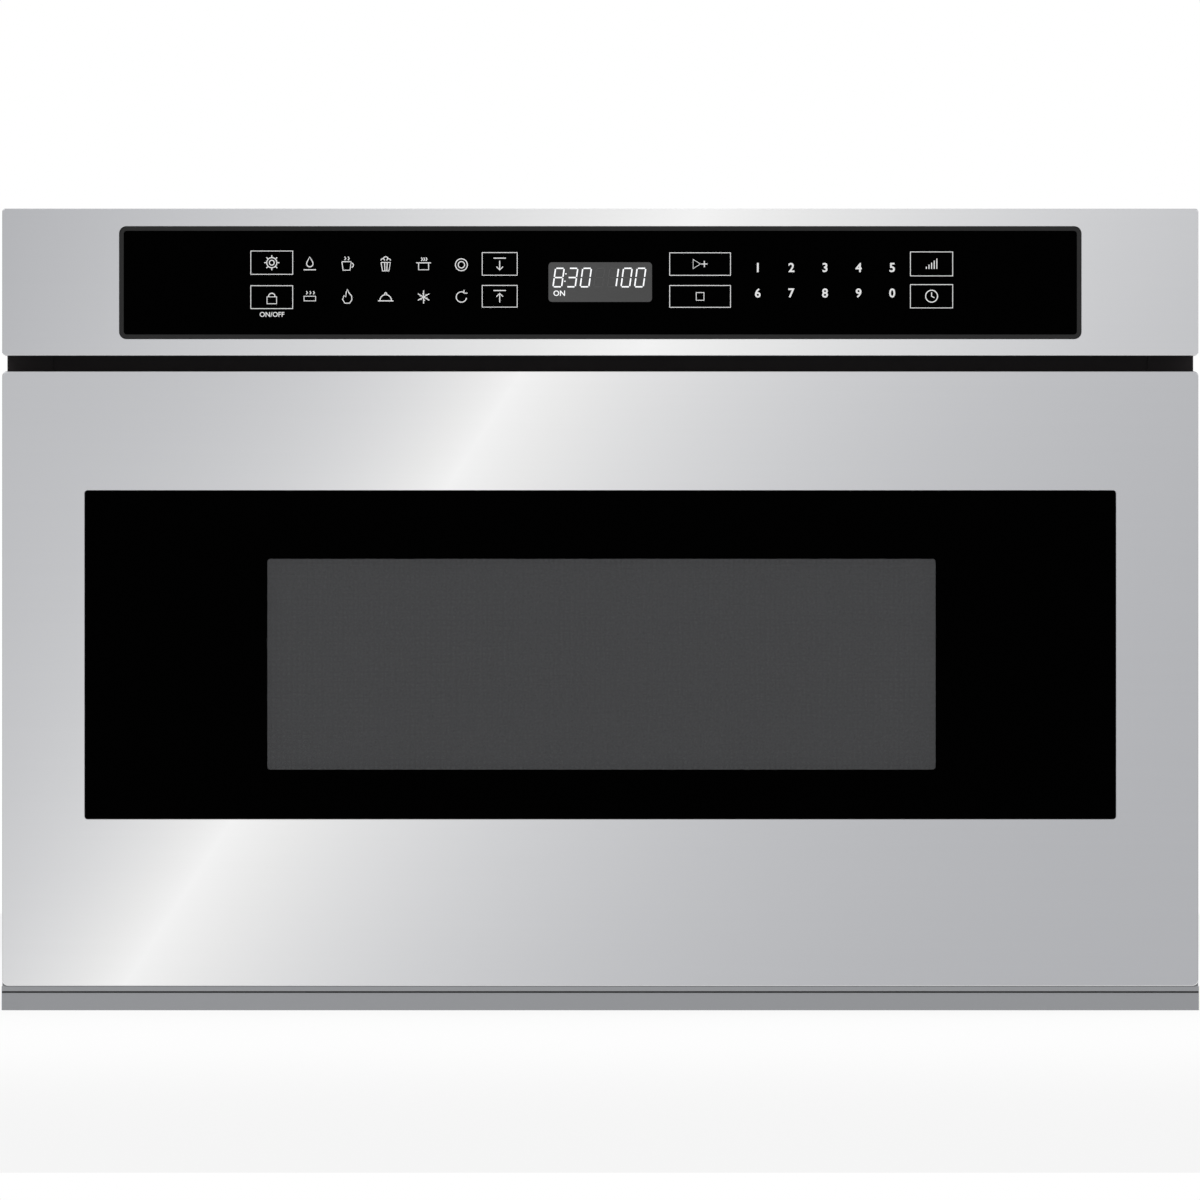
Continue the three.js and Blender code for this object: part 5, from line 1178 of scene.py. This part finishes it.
# Pictograms on a field from -1 to 1.
icons = {
    "gear": [ring(0, 0, 0.32), ring(0, 0, 0.66, steps=18)] + rays(8, 0.66, 0.98),
    "lock": [
        loop((-0.62, -0.85), (0.62, -0.85), (0.62, 0.05), (-0.62, 0.05)),
        ring(0, 0.1, 0.42, 0, 180, 8),
    ],
    "melt": drop(0, 0.05, 0.42) + [line((-0.8, -0.75), (0.8, -0.75))],
    "soften": [
        loop((-0.75, -0.5), (0.75, -0.5), (0.75, 0.1), (-0.75, 0.1)),
    ] + steam((-0.45, 0.0, 0.45), 0.35, 0.75),
    "cup": [
        line((-0.7, 0.3), (-0.55, -0.8), (0.35, -0.8), (0.5, 0.3), (-0.7, 0.3)),
        ring(0.5, -0.15, 0.3, -80, 80, 6),
    ] + steam((-0.35, 0.1), 0.5, 0.95),
    "flame": [loop(
        (0.0, 1.0), (0.2, 0.55), (0.55, 0.15), (0.6, -0.35), (0.3, -0.8), (-0.3, -0.8), (-0.6, -0.35),
        (-0.45, 0.2), (-0.2, 0.0), (-0.15, 0.55),
    )],
    "corn": [
        line((-0.6, 0.2), (-0.42, -0.9), (0.42, -0.9), (0.6, 0.2), (-0.6, 0.2)),
        line((-0.14, 0.2), (-0.1, -0.9)),
        line((0.2, 0.2), (0.14, -0.9)),
        ring(-0.38, 0.45, 0.24, 0, 180, 6),
        ring(0.38, 0.45, 0.24, 0, 180, 6),
        ring(0, 0.65, 0.3, 0, 180, 6),
    ],
    "cover": [ring(0, -0.45, 0.75, 0, 180, 10), line((-1, -0.5), (1, -0.5)), ring(0, 0.42, 0.14, steps=8)],
    "pot": [
        line((-0.65, 0.15), (-0.65, -0.75), (0.65, -0.75), (0.65, 0.15)),
        line((-0.95, 0.15), (0.95, 0.15)),
    ] + steam((-0.3, 0.0, 0.3), 0.4, 0.85),
    "frost": rays(6, 0.0, 0.85, pi / 6) + twigs(6, 0.5, 0.18, pi / 6),
    "plate": [ring(0, -0.1, 0.78, steps=18), ring(0, -0.1, 0.42)],
    "again": [ring(0, 0, 0.68, 60, 350, 12), line((0.34, 0.92), (0.34, 0.5), (0.78, 0.5))],
    "slideOut": [
        line((-0.8, 0.75), (0.8, 0.75)),
        line((0, 0.4), (0, -0.8)),
        line((-0.42, -0.35), (0, -0.8), (0.42, -0.35)),
    ],
    "slideIn": [
        line((-0.8, 0.75), (0.8, 0.75)),
        line((0, -0.8), (0, 0.4)),
        line((-0.42, -0.05), (0, 0.4), (0.42, -0.05)),
    ],
    "start": [
        loop((-0.9, -0.6), (-0.9, 0.6), (0.05, 0)),
        line((0.55, -0.4), (0.55, 0.4)),
        line((0.15, 0), (0.95, 0)),
    ],
    "stop": [loop((-0.5, -0.5), (0.5, -0.5), (0.5, 0.5), (-0.5, 0.5))],
    "level": [line((k * 0.34 - 0.68, -0.65), (k * 0.34 - 0.68, -0.35 + 0.26 * k)) for k in range(5)],
    "clock": [ring(0, 0, 0.78, steps=18), line((0, 0.5), (0, 0), (0.36, -0.2))],
}

# Where each pictogram, key and row of digits stands in the photograph, in its pixels.
printed = [
    ("gear", 271.8, 262.7), ("lock", 271.8, 297.2), ("melt", 309.8, 264), ("soften", 309.8, 297),
    ("cup", 347.3, 264), ("flame", 347.3, 297), ("corn", 385.7, 264), ("cover", 385.7, 297),
    ("pot", 423.6, 264), ("frost", 423.6, 297), ("plate", 461.4, 264), ("again", 461.4, 297),
    ("slideOut", 499.7, 263.9), ("slideIn", 499.7, 296.3), ("start", 700.1, 264), ("stop", 700.1, 296.4),
    ("level", 931.6, 263.9), ("clock", 931.6, 296.2),
]
keyBoxes = [
    (250.8, 251.0, 292.7, 274.3), (250.8, 285.7, 292.7, 308.6), (482.2, 252.6, 517.2, 275.2),
    (482.2, 285.4, 517.2, 307.1), (669.7, 252.8, 730.5, 275.3), (669.7, 285.5, 730.5, 307.3),
    (910.4, 251.9, 952.7, 275.9), (910.4, 284.6, 952.7, 307.9),
]
digitStart, digitStep = (757.8, 267.5), (33.6, 25.5)
digitsPerRow = 5
lockWord = (272, 314.4)


def strokesToMesh(name, strokes, halfWidth):  # drawn lines become thin flat ribbons
    curve = bpy.data.curves.new(name, "CURVE")
    curve.dimensions = "3D"
    curve.bevel_depth = halfWidth
    curve.bevel_resolution = 1
    curve.use_fill_caps = True
    for points, closed in strokes:
        spline = curve.splines.new("POLY")
        spline.points.add(len(points) - 1)
        for spot, (x, z) in zip(spline.points, points):
            spot.co = (x, z, 0, 1)
        spline.use_cyclic_u = closed
    holder = bpy.data.objects.new(name, curve)
    bm = bmesh.new()
    bm.from_mesh(bpy.data.meshes.new_from_object(holder))
    bpy.data.objects.remove(holder)
    bmesh.ops.scale(bm, vec=(1, 1, panel["film"] / halfWidth / 2), verts=bm.verts)
    return bm


def textToMesh(words):  # each word has its text, X, Z, height and boldness
    bm = bmesh.new()
    for text, x, z, height, bold in words:
        curve = bpy.data.curves.new("words", "FONT")
        curve.body = text
        curve.align_x = "CENTER"
        curve.offset = bold
        curve.extrude = panel["wordDepth"] / 2
        curve.resolution_u = panel["wordSteps"]
        holder = bpy.data.objects.new("words", curve)
        mesh = bpy.data.meshes.new_from_object(holder)
        bpy.data.objects.remove(holder)
        before = len(bm.verts)
        bm.from_mesh(mesh)
        bm.verts.ensure_lookup_table()
        fresh = bm.verts[before:]
        low = Vector([min(v.co[i] for v in fresh) for i in range(3)])
        high = Vector([max(v.co[i] for v in fresh) for i in range(3)])
        bmesh.ops.translate(bm, vec=-(low + high) / 2, verts=fresh)
        size = height / (high.y - low.y)
        bmesh.ops.scale(bm, vec=(size, size, panel["film"] / panel["wordDepth"]), verts=fresh)
        bmesh.ops.translate(bm, vec=(x, z, 0), verts=fresh)
    return bm


def standOnGlass(bm, lift=0.0):  # from a drawing that lies flat to one that stands on the control glass
    standUp(bm, bm.verts)
    bmesh.ops.translate(bm, vec=(0, panelFace - panel["film"] / 2 - lift, 0), verts=bm.verts)
    return bm


def printIcons():
    strokes = []
    for icon, x, y in printed:
        px, pz = onPanel(x, y)
        for points, closed in icons[icon]:
            size = panel["iconSize"]
            strokes.append(([(px + u * size, pz + v * size) for u, v in points], closed))
    bm = standOnGlass(strokesToMesh("icons", strokes, panel["line"]))
    addPiece("function_icons", bm, "printWhite", "cabinet")


def printBoxes():
    strokes = []
    for x0, y0, x1, y1 in keyBoxes:
        (ax, az), (bx, bz) = onPanel(x0, y0), onPanel(x1, y1)
        strokes.append(loop((ax, az), (bx, az), (bx, bz), (ax, bz)))
    bm = standOnGlass(strokesToMesh("boxes", strokes, panel["line"]))
    addPiece("key_outlines", bm, "printWhite", "cabinet")


def printDigits():
    words = [("ON/OFF", *onPanel(*lockWord), panel["wordHeight"], panel["wordBold"])]
    for i, digit in enumerate("1234567890"):
        x = digitStart[0] + digitStep[0] * (i % digitsPerRow)
        y = digitStart[1] + digitStep[1] * (i // digitsPerRow)
        words.append((digit, *onPanel(x, y), panel["digitHeight"], panel["digitBold"]))
    addPiece("keypad_digits", standOnGlass(textToMesh(words)), "printWhite", "cabinet")


printIcons()
printBoxes()
printDigits()
print("control panel is printed")


# The display: a grey window with slanted segment digits. Places, digits and strokes are measured in
# the photograph's pixels, and what has mm beside it is not.
display = {
    "window": (548.5, 262.3, 652.0, 301.9),
    "corner": 1.8 * mm,
    "thickness": 0.08 * mm,
    "arris": 0.03 * mm,
    "leftTone": grey(58),
    "rightTone": grey(52),
    "cells": ["8", "3", "0", " ", "1", "0", "0"],
    "firstCell": 558.6,
    "pitch": 13.6,
    "cellWidth": 8.6,
    "top": 268.3,
    "bottom": 286.8,
    "slant": 0.14,
    "stroke": 1.35,
    "gap": 0.35 * mm,  # between the ends of two segments
    "dot": 0.28 * mm,  # half the height of a dot
    "dotRise": 0.4,  # from the middle, as a share of half a digit's height
    "onWord": (559.2, 293.2),
    "onHeight": 2.8 * mm,
}
segments = {  # each stroke of a digit on a field from -1 to 1
    "a": ((-1, 1), (1, 1)), "b": ((1, 1), (1, 0)), "c": ((1, 0), (1, -1)), "d": ((-1, -1), (1, -1)),
    "e": ((-1, 0), (-1, -1)), "f": ((-1, 1), (-1, 0)), "g": ((-1, 0), (1, 0)),
}
litSegments = {"0": "abcdef", "1": "bc", "3": "abcdg", "8": "abcdefg", " ": ""}


def shadeDisplay(left, right):  # the grey of the window darkens from left to right
    tree = materials["displayGrey"].node_tree
    across = mapped(tree, axesOf(tree, placeOf(tree))["X"], left, right)
    tone = mixed(tree, "RGBA", across, display["leftTone"], display["rightTone"])
    tree.links.new(tone, tree.nodes["pattern"].inputs["Colour"])


def segmentStrokes(lit):
    strokes = []
    halfWidth = display["cellWidth"] / 2 * pixel
    halfHeight = (display["bottom"] - display["top"]) / 2 * pixel
    middle = (display["top"] + display["bottom"]) / 2
    for i, shown in enumerate(display["cells"]):
        cx, cz = onPanel(display["firstCell"] + i * display["pitch"], middle)
        for key, ends in segments.items():
            if (key in litSegments[shown]) != lit:
                continue
            start, end = [Vector((u * halfWidth, v * halfHeight)) for u, v in ends]
            way = (end - start).normalized() * display["gap"]
            points = [start + way, end - way]
            strokes.append(line(*[(cx + p.x + p.y * display["slant"], cz + p.y) for p in points]))
    if lit:  # the two dots after the first digit
        cx, cz = onPanel(display["firstCell"] + display["pitch"] / 2, middle)
        for up in (-display["dotRise"], display["dotRise"]):
            x, z = cx + up * halfHeight * display["slant"], cz + up * halfHeight
            strokes.append(line((x, z - display["dot"]), (x, z + display["dot"])))
    return strokes


def makeDisplay():
    (left, top), (right, bottom) = onPanel(*display["window"][:2]), onPanel(*display["window"][2:])
    shadeDisplay(left, right)
    bm = bmesh.new()
    spans = (left, right), (bottom, top)
    thickness = display["thickness"]
    loft(bm, "Y", plateRings(spans, panelFace - thickness, panelFace, display["corner"], display["arris"]))
    addPiece("display_window", bm, "displayGrey", "cabinet")
    half = display["stroke"] / 2 * pixel
    for name, lit, finish in (
        ("display_segments", True, "segmentLit"),
        ("resting_segments", False, "segmentDark"),
    ):
        bm = standOnGlass(strokesToMesh(name, segmentStrokes(lit), half), thickness)
        addPiece(name, bm, finish, "cabinet")
    words = [("ON", *onPanel(*display["onWord"]), display["onHeight"], panel["wordBold"])]
    addPiece("on_light", standOnGlass(textToMesh(words), thickness), "segmentLit", "cabinet")


makeDisplay()
print("display is lit")


# Hexagon-headed sheet screws hold the casing together, and flat rivets the slides. They are short
# cones, whose top is a share of their foot's radius, with a hollow in the cap.
screw = {
    "washer": 4.6 * mm,
    "washerTop": 0.9,
    "washerHeight": 0.7 * mm,
    "washerSides": 20,
    "head": 3.6 * mm,
    "headTop": 0.94,
    "headHeight": 1.9 * mm,
    "headSides": 6,
    "edge": 0.8 * mm,
    "dish": 0.5 * mm,
}
rivet = {"foot": 3.8 * mm, "top": 0.72, "height": 1.0 * mm, "sides": 18, "edge": 1.2 * mm, "dish": 0.3 * mm}
flatHead = {
    "foot": 3.4 * mm,
    "top": 0.75,
    "height": 1.0 * mm,
    "sides": 18,
    "edge": 1.05 * mm,
    "socketSlope": 0.05 * mm,
    "socketDepth": 0.5 * mm,
}


def stub(bm, foot, top, height, sides, base=0.0):  # a short cone that stands on a height
    made = bmesh.ops.create_cone(
        bm, cap_ends=True, segments=sides, radius1=foot, radius2=foot * top, depth=height,
    )["verts"]
    bmesh.ops.translate(bm, vec=(0, 0, base + height / 2), verts=made)
    return made


def capOf(verts):  # the topmost face of a stub
    faces = {f for v in verts for f in v.link_faces}
    return max(faces, key=lambda face: face.calc_center_median().z)


def setDown(bm, verts, where, way):  # from the origin to its place on a sheet
    turn = Vector((0, 0, 1)).rotation_difference(Vector(way)).to_matrix()
    bmesh.ops.rotate(bm, cent=(0, 0, 0), matrix=turn, verts=verts)
    bmesh.ops.translate(bm, vec=where, verts=verts)


def addScrew(bm, where, way):
    before = set(bm.verts)
    base = screw["washerHeight"]
    stub(bm, screw["washer"], screw["washerTop"], base, screw["washerSides"])
    head = stub(bm, screw["head"], screw["headTop"], screw["headHeight"], screw["headSides"], base)
    bmesh.ops.inset_individual(bm, faces=[capOf(head)], thickness=screw["edge"], depth=-screw["dish"])
    setDown(bm, [v for v in bm.verts if v not in before], where, way)


def addRivet(bm, where, way):
    before = set(bm.verts)
    body = stub(bm, rivet["foot"], rivet["top"], rivet["height"], rivet["sides"])
    bmesh.ops.inset_individual(bm, faces=[capOf(body)], thickness=rivet["edge"], depth=-rivet["dish"])
    setDown(bm, [v for v in bm.verts if v not in before], where, way)


def addFlatHead(bm, where, way):  # a low head with a square socket
    before = set(bm.verts)
    body = stub(bm, flatHead["foot"], flatHead["top"], flatHead["height"], flatHead["sides"])
    cap = capOf(body)
    bmesh.ops.inset_individual(bm, faces=[cap], thickness=flatHead["edge"])
    bmesh.ops.inset_individual(
        bm, faces=[cap], thickness=flatHead["socketSlope"], depth=-flatHead["socketDepth"],
    )
    setDown(bm, [v for v in bm.verts if v not in before], where, way)


def evenly(low, high, count):  # evenly spaced places, ends included
    return [low + (high - low) * i / (count - 1) for i in range(count)]


casing = {
    "beadRise": 2.0 * mm,  # how far the casing's beads stand out of its sheets
    "edge": 7.5 * mm,  # from the edge of a sheet to its row of screws
    "rearEnds": 22 * mm,  # from the ends of a sheet to the first and last screw
    "sideFront": 20 * mm,
    "sideRear": 30 * mm,
    "perRow": 4,
    "rivetEnds": 30 * mm,
    "perSlide": 3,
}


def makeFasteners():
    rearLow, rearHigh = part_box("rear_cover")
    sideLow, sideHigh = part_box("right_side_panel")
    rearFace = rearHigh.y - casing["beadRise"]
    edge, ends, perRow = casing["edge"], casing["rearEnds"], casing["perRow"]
    bm = bmesh.new()
    for side in (-1, 1):
        x = side * (rearHigh.x - edge)
        for z in evenly(rearLow.z + ends, rearHigh.z - ends, perRow):
            addScrew(bm, (x, rearFace, z), (0, 1, 0))
        for z in (sideLow.z + edge, sideHigh.z - edge):
            for y in evenly(sideLow.y + casing["sideFront"], sideHigh.y - casing["sideRear"], perRow):
                addScrew(bm, (side * rearHigh.x, y, z), (side, 0, 0))
    addPiece("casing_screws", bm, "screwSteel", "cabinet", smooth=30)
    bm = bmesh.new()
    slideLow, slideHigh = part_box("right_outer_rail")
    height = (slideLow.z + slideHigh.z) / 2
    ends = casing["rivetEnds"]
    for side in (-1, 1):
        for y in evenly(slideLow.y + ends, slideHigh.y - ends, casing["perSlide"]):
            addRivet(bm, (side * rearHigh.x, y, height), (side, 0, 0))
    addPiece("slide_rivets", bm, "screwSteel", "cabinet", smooth=30)


# The inset is counted from the outside of the choke cover, and across and up from its middle.
frameScrews = {"inset": 12 * mm, "frameStep": 1.0 * mm, "across": 120 * mm, "up": 45 * mm}


def makeFrameScrews():  # through the front frame into the flange round the cavity
    low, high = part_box("choke_cover")
    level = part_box("front_frame")[0].y + frameScrews["frameStep"]
    middle = (low.z + high.z) / 2
    halfWidth = high.x - frameScrews["inset"]
    halfHeight = (high.z - low.z) / 2 - frameScrews["inset"]
    bm = bmesh.new()
    for side in (-1, 1):
        for way in (-1, 1):
            addFlatHead(bm, (side * frameScrews["across"], level, middle + way * halfHeight), (0, -1, 0))
            addFlatHead(bm, (side * halfWidth, level, middle + way * frameScrews["up"]), (0, -1, 0))
    addPiece("frame_screws", bm, "screwSteel", "cabinet", smooth=30)


makeFasteners()
makeFrameScrews()
print("screws and rivets are in")
